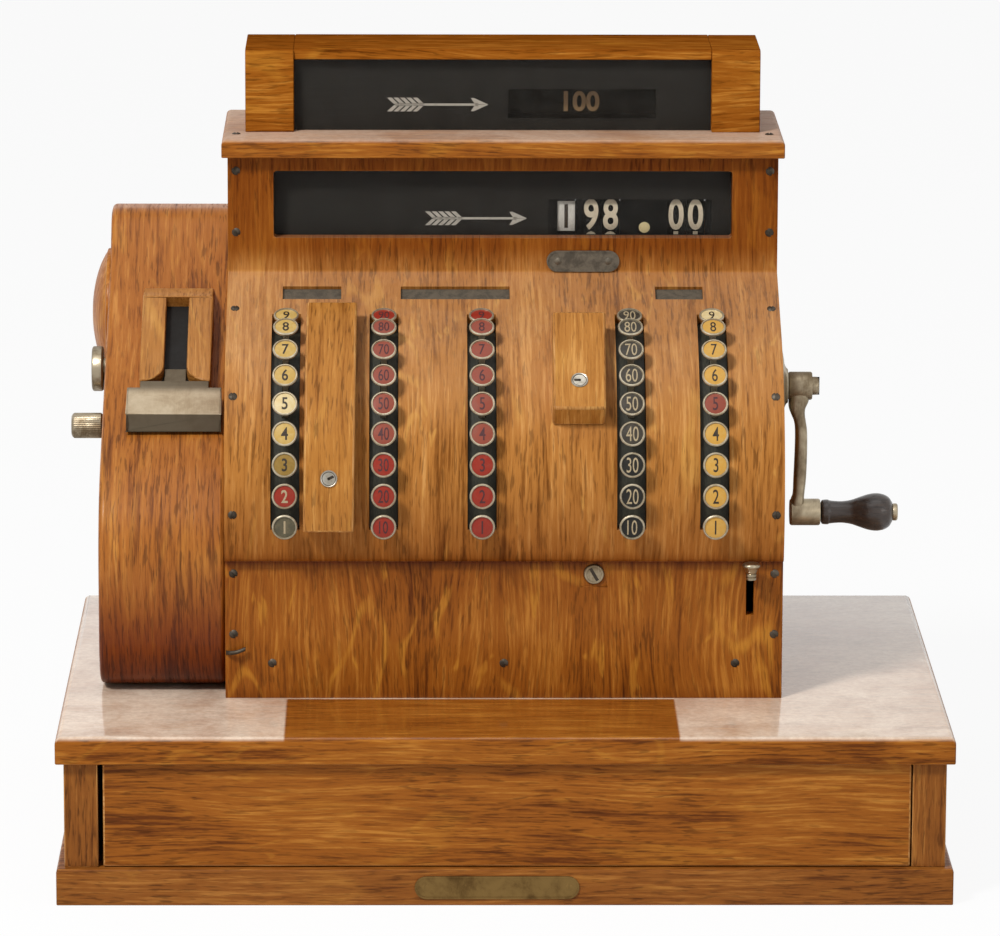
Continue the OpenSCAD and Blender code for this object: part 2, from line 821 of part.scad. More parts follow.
module long_cover() {
    r0 = round_r + cover_gap;
    r1 = round_r + long_cover_proud;
    half = long_cover_w / 2;
    color(oak) {
        difference() {
            along_x(long_cover_x - half, long_cover_x + half) difference() {
                intersection() {
                    translate([round_y, round_z]) circle(r1);
                    round_wedge(long_cover_from, long_cover_to, 1.3 * round_r);
                }
                body_outline(-cover_gap);
                translate([round_y, round_z]) circle(r0);
            }
            along_x(long_cover_x - half + cover_wall, long_cover_x + half - cover_wall)
                intersection() {
                    translate([round_y, round_z]) circle(r1 - cover_wall);
                    round_wedge(long_cover_from + cover_angle_wall,
                                long_cover_to - cover_angle_wall, 1.3 * round_r);
                }
        }
        at_round(long_cover_x, long_lock_angle, r1 - over) cylinder(h = 2 * over, d = lock_d);
    }
}

module short_cover() {
    n1 = round_r + short_cover_proud;
    half = short_cover_w / 2;
    length = short_cover_l / 2;
    inner = cover_wall;
    color(oak) {
        difference() {
            at_round(short_cover_x, short_cover_angle, 0)
                block([-half, -length, 0.8 * round_r], [half, length, n1]);
            at_round(short_cover_x, short_cover_angle, 0)
                block([inner - half, inner - length, 0.7 * round_r],
                      [half - inner, length - inner, n1 - inner]);
            along_x(short_cover_x - half - over, short_cover_x + half + over)
                body_outline(-cover_gap);
        }
        at_round(short_cover_x, short_cover_angle, n1 - over) translate([0, -short_lock_down, 0])
            cylinder(h = 2 * over, d = lock_d);
    }
}

// Lower panel's fittings
module lock_screw() {
    head = 2;
    color(steel) difference() {
        rod_y(panel_y - head, panel_y + cabinet_wall, lock_screw_x, lock_screw_z, lock_screw_d);
        block([lock_screw_x - 1, panel_y - head - over, lock_screw_z - lock_screw_d],
              [lock_screw_x + 1, panel_y - head + 1.5, lock_screw_z + lock_screw_d]);
    }
}

module release_lever() {
    head_y = panel_y - lever_reach;
    keeper_y = panel_y + cabinet_wall + seat_gap;
    foot = lever_z - lever_arm_h / 2;
    r = lever_head_d / 2;
    color(steel) {
        block([lever_x - lever_w / 2, head_y, foot],
              [lever_x + lever_w / 2, keeper_y + over, foot + lever_arm_h]);
        block([lever_x - lever_w, keeper_y, foot],
              [lever_x + lever_w, keeper_y + 2, foot + lever_arm_h]);
        translate([lever_x, head_y, foot]) rotate_extrude() polygon([
            [0, 0], [r * 0.56, 0], [r * 0.6, lever_arm_h], [r * 0.74, lever_arm_h + 2],
            [r, lever_arm_h + 3.6], [r, lever_arm_h + 4.6], [r * 0.8, lever_arm_h + 5.8],
            [0, lever_arm_h + 6.2]]);
    }
}

// Printer on the left side
printer_x1 = -cabinet_side_x;
printer_x0 = printer_x1 - printer_w;
lobe_y = -lobe_front;
lobe_z = deck + lobe_up + lobe_r;

printer_back_y = base_d / 2 - printer_back_setback;
step_y = printer_back_y - printer_step_d;
step_z = lobe_z + (lobe_r + (step_y - lobe_y) * sin(printer_slope)) / cos(printer_slope);
printer_top_z = step_z + printer_step_h;

// Side view of the printer, drawn in by a distance
module printer_outline(inset) {
    r = lobe_r - inset;
    nose_r = printer_nose_r - inset;
    top_r = printer_top_r - inset;
    front_y = lobe_y - r;
    back_y = printer_back_y - inset;
    foot_z = lobe_z - r;
    nose = [front_y + nose_r, foot_z + nose_r];
    slope = [-sin(printer_slope), cos(printer_slope)];
    step = [-sin(printer_step_slope), cos(printer_step_slope)];
    bend = [step_y, step_z]
        - inset * (slope + step) / (1 + cos(printer_step_slope - printer_slope));
    rear = [back_y - top_r, printer_top_z - printer_top_r];
    brow_y = bend[0] + (top_r + (rear[1] - bend[1]) * cos(printer_step_slope))
        / sin(printer_step_slope);
    translate([lobe_y, lobe_z]) circle(r);
    translate(nose) circle(nose_r);
    for (y = [brow_y, rear[0]]) translate([y, rear[1]]) circle(top_r);
    polygon([
        [nose[0], foot_z], [front_y, nose[1]], [front_y, lobe_z], [lobe_y, lobe_z] + r * slope,
        bend, [brow_y, rear[1]] + top_r * step, [brow_y, rear[1] + top_r],
        [rear[0], rear[1] + top_r], [back_y, rear[1]], [back_y, foot_z]]);
}

knob_z = deck + knob_up;
pin_z = deck + pin_up;
roll_y = printer_back_y - roll_margin - roll_r;
roll_z = step_z - roll_drop;

// Places a shape on the printer's sloping top: local Y runs up the slope from the lobe
module on_printer_slope(x, up_slope) {
    translate([x, lobe_y, lobe_z]) rotate([printer_slope, 0, 0])
        translate([0, up_slope, lobe_r]) children();
}

module printer_housing() {
    color(oak) difference() {
        along_x(printer_x0, printer_x1) printer_outline(0);
        along_x(printer_x0 + printer_wall, printer_x1 + over) printer_outline(printer_wall);
        for (place = [[knob_y, knob_z], [pin_y, pin_z]])
            rod_x(printer_x0 - over, printer_x0 + printer_wall + over, place[0], place[1],
                  spindle_d + 2 * shaft_gap);
    }
}

// Places a side view drawn up the slope and out from it between two values of X
module along_slope(x0, x1) {
    on_printer_slope(chute_x, chute_from) along_x(x0, x1) children();
}

chute_bridge = 2;

module receipt_chute() {
    flare = (chute_w - paper_w) / 2 - over;
    floor_z = chute_h - paper_depth;
    color(oak) difference() {
        along_slope(-chute_w / 2, chute_w / 2)
            polygon([[tray_foot_l, 0], [tray_foot_l, chute_h], [chute_l, chute_h],
                     [chute_l + chute_h / tan(printer_slope), 0]]);
        on_printer_slope(chute_x, chute_from + tray_foot_l) {
            block([-paper_w / 2, -over, floor_z],
                  [paper_w / 2, chute_l - tray_foot_l - chute_bridge, chute_h + over]);
            difference() {
                block([-paper_w / 2 - flare, -over, floor_z],
                      [paper_w / 2 + flare, flare, chute_h + over]);
                for (side = [-1, 1]) translate([side * (paper_w / 2 + flare), flare, 0])
                    cylinder(h = 2 * chute_h, r = flare);
            }
        }
    }
}

module receipt_tray() {
    lip = [-tray_l - tray_lip * sin(printer_slope), chute_h - tray_lip * cos(printer_slope)];
    half = tray_w / 2;
    foot_half = chute_w / 2 - tray_t / 2;
    tongue_half = paper_w / 2 - seat_gap;
    tongue_z = chute_h - paper_depth;
    color(steel) {
        along_slope(-half, half) polygon([
            [tray_t, chute_h], [-tray_l, chute_h], lip, lip + [tray_t, 0],
            [tray_t - tray_l, chute_h - tray_t], [tray_t, chute_h - tray_t]]);
        on_printer_slope(chute_x, chute_from) {
            block([-foot_half, 0, 0], [foot_half, tray_foot_l, chute_h - tray_t / 2]);
            block([-tongue_half, tray_foot_l - over, tongue_z],
                  [tongue_half, tray_foot_l + tray_tongue_l, tongue_z + 2 * tray_t]);
        }
        for (x = [-half, half - tray_t]) along_slope(x, x + tray_t)
            polygon([[0, 0], [0, chute_h], [-tray_l, chute_h], lip, [lip[0] + 2 * lip[1], 0]]);
    }
}

// Turned piece on the printer's left side: local Z runs out to the left
module on_printer_side(y, z, gap) {
    translate([printer_x0 - gap, y, z]) rotate([0, -90, 0]) children();
}

module roll_cover() {
    rim_h = 3;
    color(oak) on_printer_side(roll_y, roll_z, 0) {
        cylinder(h = rim_h, r = roll_r);
        translate([0, 0, rim_h]) dome(2 * roll_r - 4, roll_bulge - rim_h);
    }
}

module printer_knob() {
    r = knob_d / 2;
    h = 10;
    color(steel) on_printer_side(knob_y, knob_z, seat_gap) {
        rotate_extrude() polygon([
            [0, 0], [r * 0.5, 0], [r * 0.5, 2], [r - 1, 2], [r, 3], [r, h - 1.5], [r - 1.5, h],
            [r * 0.7, h], [r * 0.65, h - 1], [0, h - 1]]);
        translate([0, 0, -printer_wall - seat_gap]) cylinder(h = printer_wall + 1, d = spindle_d);
    }
}

module setting_pin() {
    r = pin_d / 2;
    color(steel) on_printer_side(pin_y, pin_z, seat_gap) {
        rotate_extrude() polygon([
            [0, 0], [r * 0.8, 0], [r * 0.8, 2], [r, 3], [r, pin_l - 2], [r - 2, pin_l], [0, pin_l]]);
        translate([0, 0, -printer_wall - seat_gap]) cylinder(h = printer_wall + 1, d = spindle_d);
    }
}

// Crank on the right side
handle_z = crank_z - crank_arm_l;
hub_x0 = cabinet_side_x + flange_h + seat_gap;
hub_x1 = cabinet_side_x + 27;
boss_x0 = hub_x0 + 2;
boss_x1 = cabinet_side_x + 34;
handle_x0 = boss_x1 + seat_gap;
handle_x1 = handle_x0 + handle_l;

module crank_flange() {
    r = flange_d / 2;
    color(steel) translate([cabinet_side_x, crank_y, crank_z]) rotate([0, 90, 0]) difference() {
        rotate_extrude() polygon([
            [0, 0], [r, 0], [r, flange_h * 0.45], [r * 0.94, flange_h * 0.6],
            [r * 0.62, flange_h * 0.72], [r * 0.46, flange_h * 0.86], [r * 0.42, flange_h],
            [0, flange_h]]);
        translate([0, 0, -over]) cylinder(h = flange_h + 2 * over, d = crank_shaft_d + 2 * shaft_gap);
    }
}

// Front view of the arm: points at a share of its length below the axis
module arm_outline() {
    x = hub_x0 + 5;
    thick = crank_arm_w * 0.58;
    function at(share, across) = [across, crank_z - share * crank_arm_l];
    polygon([
        at(0, hub_x0), at(0.04, hub_x1 - 1), at(0.1, hub_x1 - 2), at(0.17, x + thick * 0.72),
        at(0.21, x + thick * 0.72), at(0.34, x + thick), at(0.71, x + thick * 0.94),
        at(0.89, x + thick * 0.8), at(1, x + thick * 0.8), at(1, boss_x0), at(0.89, boss_x0 + 1),
        at(0.85, x - thick * 0.1), at(0.43, x), at(0.32, x), at(0.25, x - thick * 0.25),
        at(0.215, hub_x0)]);
}

module crank_arm() {
    color(steel) {
        rod_x(cabinet_side_x - side_wall - 6, hub_x1, crank_y, crank_z, crank_shaft_d);
        rod_x(hub_x0, hub_x1, crank_y, crank_z, crank_hub_d);
        translate([hub_x1, crank_y, crank_z]) rotate([0, 90, 0])
            dome(crank_hub_d * 0.65, crank_hub_d * 0.25);
        along_y(crank_y - crank_arm_w / 2, crank_y + crank_arm_w / 2) arm_outline();
        rod_x(boss_x0, boss_x1, crank_y, handle_z, boss_d);
        rod_x(boss_x1 - over, handle_x1 + over, crank_y, handle_z, handle_pin_d);
        translate([handle_x1 + seat_gap, crank_y, handle_z]) rotate([0, 90, 0])
            dome(boss_d * 0.64, boss_d * 0.2);
    }
}

// Turned shape of the handle: share of its radius, share of its length
handle_profile = [
    [0, 0], [0.58, 0], [0.63, 0.02], [0.63, 0.1], [0.59, 0.12], [0.57, 0.2], [0.58, 0.35],
    [0.69, 0.47], [0.85, 0.58], [0.96, 0.68], [1, 0.77], [0.98, 0.86], [0.85, 0.94],
    [0.64, 0.985], [0.42, 1], [0, 1]];

module crank_handle() {
    r = handle_d / 2;
    color("saddlebrown") translate([handle_x0, crank_y, handle_z]) rotate([0, 90, 0]) difference() {
        rotate_extrude() polygon([
            for (p = handle_profile) [r * p[0], handle_l * p[1]]]);
        translate([0, 0, -over]) cylinder(h = handle_l + 2 * over, d = handle_pin_d + 2 * shaft_gap);
    }
}

// Screws and bare plates
screw_d = 7;
screw_h = 1.6;

module front_screw(x, y, up) {
    translate([x, y, deck + up]) rotate([90, 0, 0]) dome(screw_d, screw_h);
}

// Screws near the cabinet's two edges: heights over the slab, angles, way up the shoulder
screw_edge = 5.8;
panel_screws_up = [45.6, 88.5];
round_screw_angles = [-0.9, 37.3];
shoulder_screw_up = 28.5;
foot_screw_x = 160;
foot_screw_up = 25;
cap_screw_in = 16;

module cabinet_screws() {
    edge = cabinet_side_x - screw_edge;
    head_screws_up = [window_z + 4 - deck, window_z + window_h - deck];
    color(dark_steel) {
        for (x = [-foot_screw_x, 0, foot_screw_x]) front_screw(x, panel_y, foot_screw_up);
        for (x = [-edge, edge]) {
            for (up = panel_screws_up) front_screw(x, panel_y, up);
            for (up = head_screws_up) front_screw(x, head_front, up);
            for (angle = round_screw_angles) at_round(x, angle, round_r) dome(screw_d, screw_h);
            on_shoulder(x, shoulder_screw_up) dome(screw_d, screw_h);
            translate([x, head_front + cap_screw_in, sign_z]) dome(screw_d, screw_h);
        }
    }
}

name_plate_w = 112;
name_plate_h = 16;
name_plate_x = -5.6;
small_plate_w = 50;
small_plate_h = 12;
small_plate_x = 56.2;
small_plate_t = 2.5;
sheet_t = 1;

// Front view of a plate with round ends
module round_plate(w, h) {
    square([w - h, h], center = true);
    for (side = [-1, 1]) translate([side * (w - h) / 2, 0]) circle(h / 2);
}

module metal_plates() {
    color(brass) {
        along_y(-base_d / 2, sheet_t - base_d / 2)
            translate([name_plate_x, plinth_h / 2]) round_plate(name_plate_w, name_plate_h);
        along_y(head_front - small_plate_t, head_front)
            translate([small_plate_x, bend_z + bend_rise(bend_r) + small_plate_h / 2 + seat_gap])
                round_plate(small_plate_w, small_plate_h);
        for (window = shoulder_windows)
            shoulder_window(window, 0.1, -shoulder_window_depth, sheet_t - shoulder_window_depth);
    }
}

plinth();
base_case();
base_top();
drawer_front();
drawer_box();
coin_till();
cabinet_sides();
cabinet_back();
keyboard_cover();
lower_panel();
head_cap();
sign_box();
display_glass();
display_mask();
indicator_wheels();
sign_drum();
key_plates();
cabinet_screws();
metal_plates();
printer_housing();
receipt_chute();
receipt_tray();
roll_cover();
printer_knob();
setting_pin();
crank_flange();
crank_arm();
crank_handle();
release_lever();
lock_screw();
long_cover();
short_cover();
clerk_keys();
for (i = [1:key_count]) {
    amount_key(2, i, "firebrick");
    amount_key(3, i, "black");
    amount_key(4, i, "gold");
}
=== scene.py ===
import math

import bmesh
import bpy
import numpy as np
from mathutils import Matrix, Vector


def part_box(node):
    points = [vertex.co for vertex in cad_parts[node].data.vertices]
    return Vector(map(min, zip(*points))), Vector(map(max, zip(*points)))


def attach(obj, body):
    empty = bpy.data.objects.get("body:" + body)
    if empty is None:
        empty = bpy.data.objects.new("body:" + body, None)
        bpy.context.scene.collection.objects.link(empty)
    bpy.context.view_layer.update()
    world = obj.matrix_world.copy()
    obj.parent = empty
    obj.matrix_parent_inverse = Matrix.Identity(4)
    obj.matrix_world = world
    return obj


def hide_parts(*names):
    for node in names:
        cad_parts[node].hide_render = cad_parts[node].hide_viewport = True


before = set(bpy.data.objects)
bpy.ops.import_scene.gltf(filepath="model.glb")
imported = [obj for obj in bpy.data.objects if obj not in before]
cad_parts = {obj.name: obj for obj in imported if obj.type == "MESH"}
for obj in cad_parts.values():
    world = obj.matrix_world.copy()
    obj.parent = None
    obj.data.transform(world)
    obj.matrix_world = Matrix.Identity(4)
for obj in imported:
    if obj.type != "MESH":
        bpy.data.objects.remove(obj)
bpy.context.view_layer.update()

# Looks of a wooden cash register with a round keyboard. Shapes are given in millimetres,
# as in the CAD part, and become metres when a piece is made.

MM = 0.001
ACROSS, DEEP, UP = 0, 1, 2


def node_box(name):
    """Lowest and highest corner of a CAD node at rest, in millimetres."""
    return np.round(np.array(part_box(name)) / MM, 2)


def node_middle(name):
    return np.round(node_box(name).mean(0), 1)


def add_object(name, data):
    thing = bpy.data.objects.new(name, data)
    bpy.context.scene.collection.objects.link(thing)
    return thing


DECK = node_box("base_top")[1, UP]
HALF_W = node_box("cabinet_sides")[1, ACROSS]
PANEL_Y, PANEL_TOP = node_box("lower_panel")[[0, 1], [DEEP, UP]]
WALL = np.ptp(node_box("lower_panel")[:, DEEP])
FACE_Y = node_box("keyboard_cover")[1, DEEP] - WALL
HEAD_BACK, BACK_Y = node_box("cabinet_back")[:, DEEP] + (WALL, 0)
HEAD_TOP = node_box("head_cap")[0, UP]
ROUND_Y, ROUND_Z, ROUND_R = 12.0, 252.5, 125.0
SHOULDER, TANGENT = 27.0, 63.0
BEND_R, NOSE_R = 3.0, 4.0
SLOT_FROM, SLOT_TO, SLOT_W = -5.8, 73.0, 20.0
WINDOW_HALF, WINDOW_LOW, WINDOW_HIGH, WINDOW_CORNER = 160.5, 420.0, 467.5, 2.5
COLUMNS = [-150.7, -83.0, -15.4, 87.3, 144.4]
SHOULDER_WINDOWS = [(-153.8, -112.9), (-71.5, 4.6), (106.3, 139.5)]
SHOULDER_WINDOW_L, SHOULDER_WINDOW_DOWN = 14.5, 24.0
WHEEL_Y, WHEEL_Z = node_middle("indicator_wheels")[1:]
WHEEL_R = np.ptp(node_box("indicator_wheels")[:, UP]) / 2
SIGN_Y, SIGN_Z = node_middle("sign_drum")[1:]
SIGN_R = np.ptp(node_box("sign_drum")[:, UP]) / 2
LOBE_R, PRINTER_SLOPE = 84.0, 31.0
PRINTER_X0, LOBE_Y, LOBE_Z = node_box("printer_housing")[0] + (0, LOBE_R, LOBE_R)
CHUTE_X, CHUTE_W, CHUTE_H = -229.7, 49.5, 14.0
CRANK_Y, CRANK_Z = node_middle("crank_flange")[1:]
HANDLE_Z = node_middle("crank_handle")[UP]
LOCK_X, _, LOCK_Z = node_middle("lock_screw")


# Camera and lamps

def photo_camera():
    """Camera at the photograph's place: it looks down 12.3 degrees and a little to the right."""
    place = (-0.06271, -4.47467, 1.23320)
    yaw, pitch, roll = 0.013634, math.radians(12.281), 0.0033783
    data = bpy.data.cameras.new("photo_camera")
    data.lens, data.sensor_width, data.sensor_fit = 234.55, 36, "HORIZONTAL"
    camera = add_object("photo_camera", data)
    turn = Matrix.Rotation(-yaw, 4, "Z") @ Matrix.Rotation(math.pi / 2 - pitch, 4, "X")
    camera.matrix_world = Matrix.Translation(place) @ turn @ Matrix.Rotation(roll, 4, "Z")
    bpy.context.scene.camera = camera


def soft_light(name, place, target, width, height, watts):
    """Rectangular soft lamp at a place, turned towards a target."""
    data = bpy.data.lights.new(name, "AREA")
    data.shape, data.size, data.size_y, data.energy = "RECTANGLE", width, height, watts
    lamp = add_object(name, data)
    turn = (Vector(target) - Vector(place)).to_track_quat("-Z", "Y")
    lamp.matrix_world = Matrix.Translation(place) @ turn.to_matrix().to_4x4()


# Shader nodes

class Net:
    """Adds nodes to a shader tree. An input may be a value or another node's output."""

    def __init__(self, tree):
        self.tree = tree

    def put(self, kind, settings=None, **inputs):
        node = self.tree.nodes.new(kind if kind.startswith("Node") else "ShaderNode" + kind)
        for key, value in (settings or {}).items():
            setattr(node, key, value)
        return self.give(node, **inputs)

    def feed(self, node, key, value):
        socket = node.inputs[key]
        if isinstance(value, bpy.types.NodeSocket):
            self.tree.links.new(value, socket)
        else:
            socket.default_value = (*value, 1.0) if socket.type == "RGBA" else value

    def give(self, node, **inputs):
        for key, value in inputs.items():
            self.feed(node, key.replace("_", " "), value)
        return node

    def fill(self, node, *values):
        for i, value in enumerate(values):
            self.feed(node, i, value)
        return node.outputs[0] if node.outputs else None

    def calc(self, operation, *values, clamp=False):
        return self.fill(self.put("Math", {"operation": operation, "use_clamp": clamp}), *values)

    def times(self, first, second, clamp=False):
        return self.calc("MULTIPLY", first, second, clamp=clamp)

    def plus(self, first, second, clamp=False):
        return self.calc("ADD", first, second, clamp=clamp)

    def total(self, start, *terms):
        """start + share x (noise - 0.5) for each pair of noise and share, kept between 0 and 1."""
        for i, (value, share) in enumerate(terms, 1):
            part = self.calc("MULTIPLY_ADD", value, share, -0.5 * share)
            start = self.plus(start, part, clamp=i == len(terms))
        return start

    def vector(self, operation, first, second):
        node = self.put("VectorMath", {"operation": operation})
        self.feed(node, 0, first)
        self.feed(node, "Scale" if operation == "SCALE" else 1, second)
        return node.outputs[0]

    def noise(self, place, scale, detail=3.0, rough=0.5, warp=0.0):
        """Noise at one scale, or at one for each axis."""
        scale = scale if isinstance(scale, tuple) else (scale, scale, scale)
        return self.put("TexNoise", Vector=self.vector("MULTIPLY", place, scale), Scale=1.0,
                        Detail=detail, Roughness=rough, Distortion=warp).outputs[0]

    def step(self, value, low, high, to_low=0.0, to_high=1.0):
        return self.put("MapRange", {"interpolation_type": "SMOOTHSTEP"}, Value=value, From_Min=low,
                        From_Max=high, To_Min=to_low, To_Max=to_high).outputs[0]

    def mix(self, share, first, second, way="MIX"):
        node = self.put("Mix", {"data_type": "RGBA", "blend_type": way})
        for key, value in ((0, share), (6, first), (7, second)):
            self.feed(node, key, value)
        return node.outputs[2]

    def dress(self, shader, height, strength, depth, **inputs):
        """Feeds a shader's inputs, and a bump as its normal."""
        bump = self.put("Bump", Strength=strength, Distance=depth, Height=height)
        self.give(shader, Normal=bump.outputs[0], **inputs)


def new_group(name, inputs, outputs):
    """Empty node group with named inputs and outputs; gives its net and both ends."""
    tree = bpy.data.node_groups.new(name, "ShaderNodeTree")
    for way, labels in (("INPUT", inputs), ("OUTPUT", outputs)):
        for label in labels.split():
            kind = "NodeSocketVector" if label == "Place" else "NodeSocketFloat"
            tree.interface.new_socket(name=label, in_out=way, socket_type=kind)
    net = Net(tree)
    return net, net.put("NodeGroupInput").outputs, net.put("NodeGroupOutput")


def make_oak_grain():
    """Grain of quarter-sawn oak on a place whose Y runs along the fibres, in metres: wandering
    fibres, broad streaks, short dark pores, and golden rays. The rays are thin ribbons along the
    level lines of a slow noise, broken up by patches, and small tapering blobs."""
    net, given, out = new_group("oak grain", "Place Board Sway", "Tone Pores Rays Relief")

    def drawn(source, width, length, *more):
        return net.noise(source, (width, length, width), *more)

    board_shift = {axis: net.times(given[1], k) for axis, k in zip("XYZ", (0.731, 1.37, 0.413))}
    place = net.vector("ADD", given[0], net.put("CombineXYZ", **board_shift).outputs[0])
    wander = net.times(drawn(place, 9.0, 3.2, 2.0), given[2])
    bent = net.vector("ADD", place, net.put("CombineXYZ", X=wander).outputs[0])
    fibres = drawn(bent, 430.0, 20.0, 4.0, 0.7)
    streaks = drawn(bent, 130.0, 6.0, 3.0, 0.6)
    bands = drawn(bent, 30.0, 1.8, 2.0)
    blotch = drawn(place, 10.0, 7.0, 4.0, 0.6)
    tone = net.total(0.5, (fibres, 2.0), (streaks, 0.8), (bands, 0.5), (blotch, 0.9))
    dashes = net.step(drawn(bent, 620.0, 62.0, 2.0), 0.54, 0.66)
    pores = net.times(dashes, net.step(blotch, 0.62, 0.40, 0.4, 1.0))
    slow = drawn(bent, 17.0, 5.0, 1.5, 0.5, 0.9)
    ribbon = net.step(net.calc("ABSOLUTE", net.calc("SUBTRACT", slow, 0.5)), 0.030, 0.004)
    patch = net.step(drawn(place, 20.0, 9.0, 2.0), 0.47, 0.58)
    blobs = net.step(drawn(bent, 80.0, 24.0, 2.0, 0.5, 0.7), 0.63, 0.71)
    rays = net.calc("MAXIMUM", net.times(ribbon, patch), blobs)
    rays = net.times(rays, net.step(fibres, 0.30, 0.62, 0.25, 1.0))
    relief = net.calc("SUBTRACT", net.times(fibres, 0.5), net.times(pores, 0.9))
    net.fill(out, tone, pores, rays, relief)
    return net.tree


def make_metal_wear():
    """Tarnish in patches, brushed scratches and small pits of old bare metal."""
    net, given, out = new_group("metal wear", "Place Size", "Tarnish Scratches Relief")
    place = net.vector("SCALE", given[0], given[1])
    patches = net.step(net.noise(place, 60.0, 5.0, 0.65, 0.4), 0.34, 0.68)
    scratches = net.noise(place, (1900.0, 160.0, 260.0), 3.0, 0.6)
    pits = net.step(net.noise(place, 900.0, 2.0), 0.62, 0.74)
    net.fill(out, patches, scratches, net.calc("SUBTRACT", net.times(scratches, 0.4), pits))
    return net.tree


def looking_up(net, low, high, most=1.0):
    """Grows from 0 to most while the surface's normal turns up, between two heights of it."""
    normal = net.put("SeparateXYZ", Vector=net.put("NewGeometry").outputs["Normal"])
    return net.step(normal.outputs[2], low, high, 0.0, most)


def make_dust():
    """Thin dust, and a painted sheen of the light from above: a pale tint only where a surface looks
    up, in soft uneven patches.
    """
    net, given, out = new_group("dust_and_sheen", "Place Amount", "Mask")
    coarse = net.step(net.noise(given[0], 18.0, 6.0, 0.62, 0.5), 0.28, 0.66, 0.55, 1.0)
    fine = net.step(net.noise(given[0], 240.0, 4.0, 0.7), 0.30, 0.70, 0.75, 1.0)
    mask = net.times(net.times(looking_up(net, 0.30, 0.95), coarse), fine)
    net.fill(out, net.times(mask, given[1], clamp=True))
    return net.tree


OAK_GRAIN, METAL_WEAR, DUST_AND_SHEEN = make_oak_grain(), make_metal_wear(), make_dust()
ALONG_X, ALONG_Z = (0.0, 0.0, math.pi / 2), (math.pi / 2, 0.0, 0.0)


def new_material(name):
    material = bpy.data.materials.new(name)
    material.use_nodes = True
    material.node_tree.nodes.clear()
    net = Net(material.node_tree)
    shader = net.put("BsdfPrincipled")
    return net, shader, net.put("OutputMaterial", Surface=shader.outputs[0])


def object_place(net, turn=None):
    place = net.put("TexCoord").outputs["Object"]
    return net.put("Mapping", Vector=place, Rotation=turn).outputs[0] if turn else place


def grain_map(net):
    return net.put("UVMap", {"uv_map": "grain"}).outputs[0]


def along(net, letter):
    """Number that grows along X, Y or Z of the piece, or along U or V of its grain map."""
    source = grain_map(net) if letter in "UV" else object_place(net)
    return net.put("SeparateXYZ", Vector=source).outputs["XYZUV".index(letter) % 3]


def stained(net, paint, dark_bands, tint, way="MIX"):
    """Darkens a colour in bands, most of them painted shade. Each band says along which coordinate it
    goes, where in metres it starts, where it is full, and its share."""
    for letter, start, stop, share in dark_bands:
        paint = net.mix(net.step(along(net, letter), start, stop, 0.0, share), paint, tint, way)
    return paint


def dust_outside(net, mask, x0, x1, y, soft=0.001):
    """Takes the dust and the painted sheen off a wiped strip: from X to X, in front of Y."""
    x = along(net, "X")
    beside = net.plus(net.step(x, x0 + soft, x0 - soft), net.step(x, x1 - soft, x1 + soft))
    behind = net.step(along(net, "Y"), y - soft, y + soft)
    return net.times(mask, net.plus(beside, behind, clamp=True))


BOARDS = {}


def varnished_oak(name, tones, rough=0.36, dust_and_sheen=0.0, turn=None, rays=0.5, coat=0.03, gloss=0.10,
                  sway=0.02, dark_bands=(), wiped=None, coat_on_top=False,
                  dust_and_sheen_tint=(0.60, 0.44, 0.33)):
    """Old varnished oak in a dark, a middle and a light tone. With no turn it follows the piece's
    own grain map. Each wood has a board number of its own, which moves its pattern."""
    board = BOARDS[name] = len(BOARDS) + 1
    dark, middle, light = tones
    net, shader, _ = new_material(name)
    place = object_place(net, turn) if turn else grain_map(net)
    grain = net.put("Group", {"node_tree": OAK_GRAIN}, Place=place, Board=float(board), Sway=sway)
    tone, pores, ray, height = grain.outputs
    wood = net.mix(net.step(tone, 0.0, 0.5), dark, middle)
    wood = net.mix(net.step(tone, 0.5, 1.0), wood, light)
    golden = [min(1.0, c * k) for c, k in zip(light, (1.06, 1.12, 0.9))]
    wood = net.mix(net.times(ray, rays), wood, golden)
    wood = net.mix(net.times(pores, 0.55), wood, [c * 0.4 for c in dark])
    wood = stained(net, wood, dark_bands, (0.50, 0.30, 0.05), "MULTIPLY")
    roughness = net.step(tone, 0.0, 1.0, rough + 0.08, rough - 0.05)
    roughness = net.plus(roughness, net.times(pores, 0.2))
    # Pale tint where the surface looks up: dust, and a painted sheen of the light from above.
    if dust_and_sheen:
        dust_and_sheen_mask = net.put("Group", {"node_tree": DUST_AND_SHEEN}, Place=object_place(net), Amount=dust_and_sheen).outputs[0]
        if wiped:
            dust_and_sheen_mask = dust_outside(net, dust_and_sheen_mask, *wiped)
        wood = net.mix(dust_and_sheen_mask, wood, dust_and_sheen_tint)
        roughness = net.plus(roughness, net.times(dust_and_sheen_mask, 0.25))
    if coat_on_top:
        coat = looking_up(net, 0.6, 0.9, coat)
    net.dress(shader, height, 0.25, 0.0004, Base_Color=wood, Roughness=roughness,
              Specular_IOR_Level=gloss, Coat_Weight=coat, Coat_Roughness=0.1 if coat_on_top else 0.16)


def worn_metal(name, bright, tarnished, rough=0.32, size=1.0, metallic=1.0, relief=0.2, dark_bands=()):
    """Old metal whose bright surface is dulled in patches."""
    net, shader, _ = new_material(name)
    wear = net.put("Group", {"node_tree": METAL_WEAR}, Place=object_place(net), Size=size).outputs
    tint = net.mix(wear[0], bright, tarnished)
    tint = net.mix(net.step(wear[1], 0.45, 0.75, 0.0, 0.35), tint, bright)
    tint = stained(net, tint, dark_bands, [c * 0.25 for c in tarnished])
    net.dress(shader, wear[2], relief, 0.0002, Base_Color=tint, Metallic=metallic,
              Roughness=net.step(wear[0], 0.0, 1.0, rough, rough + 0.2))


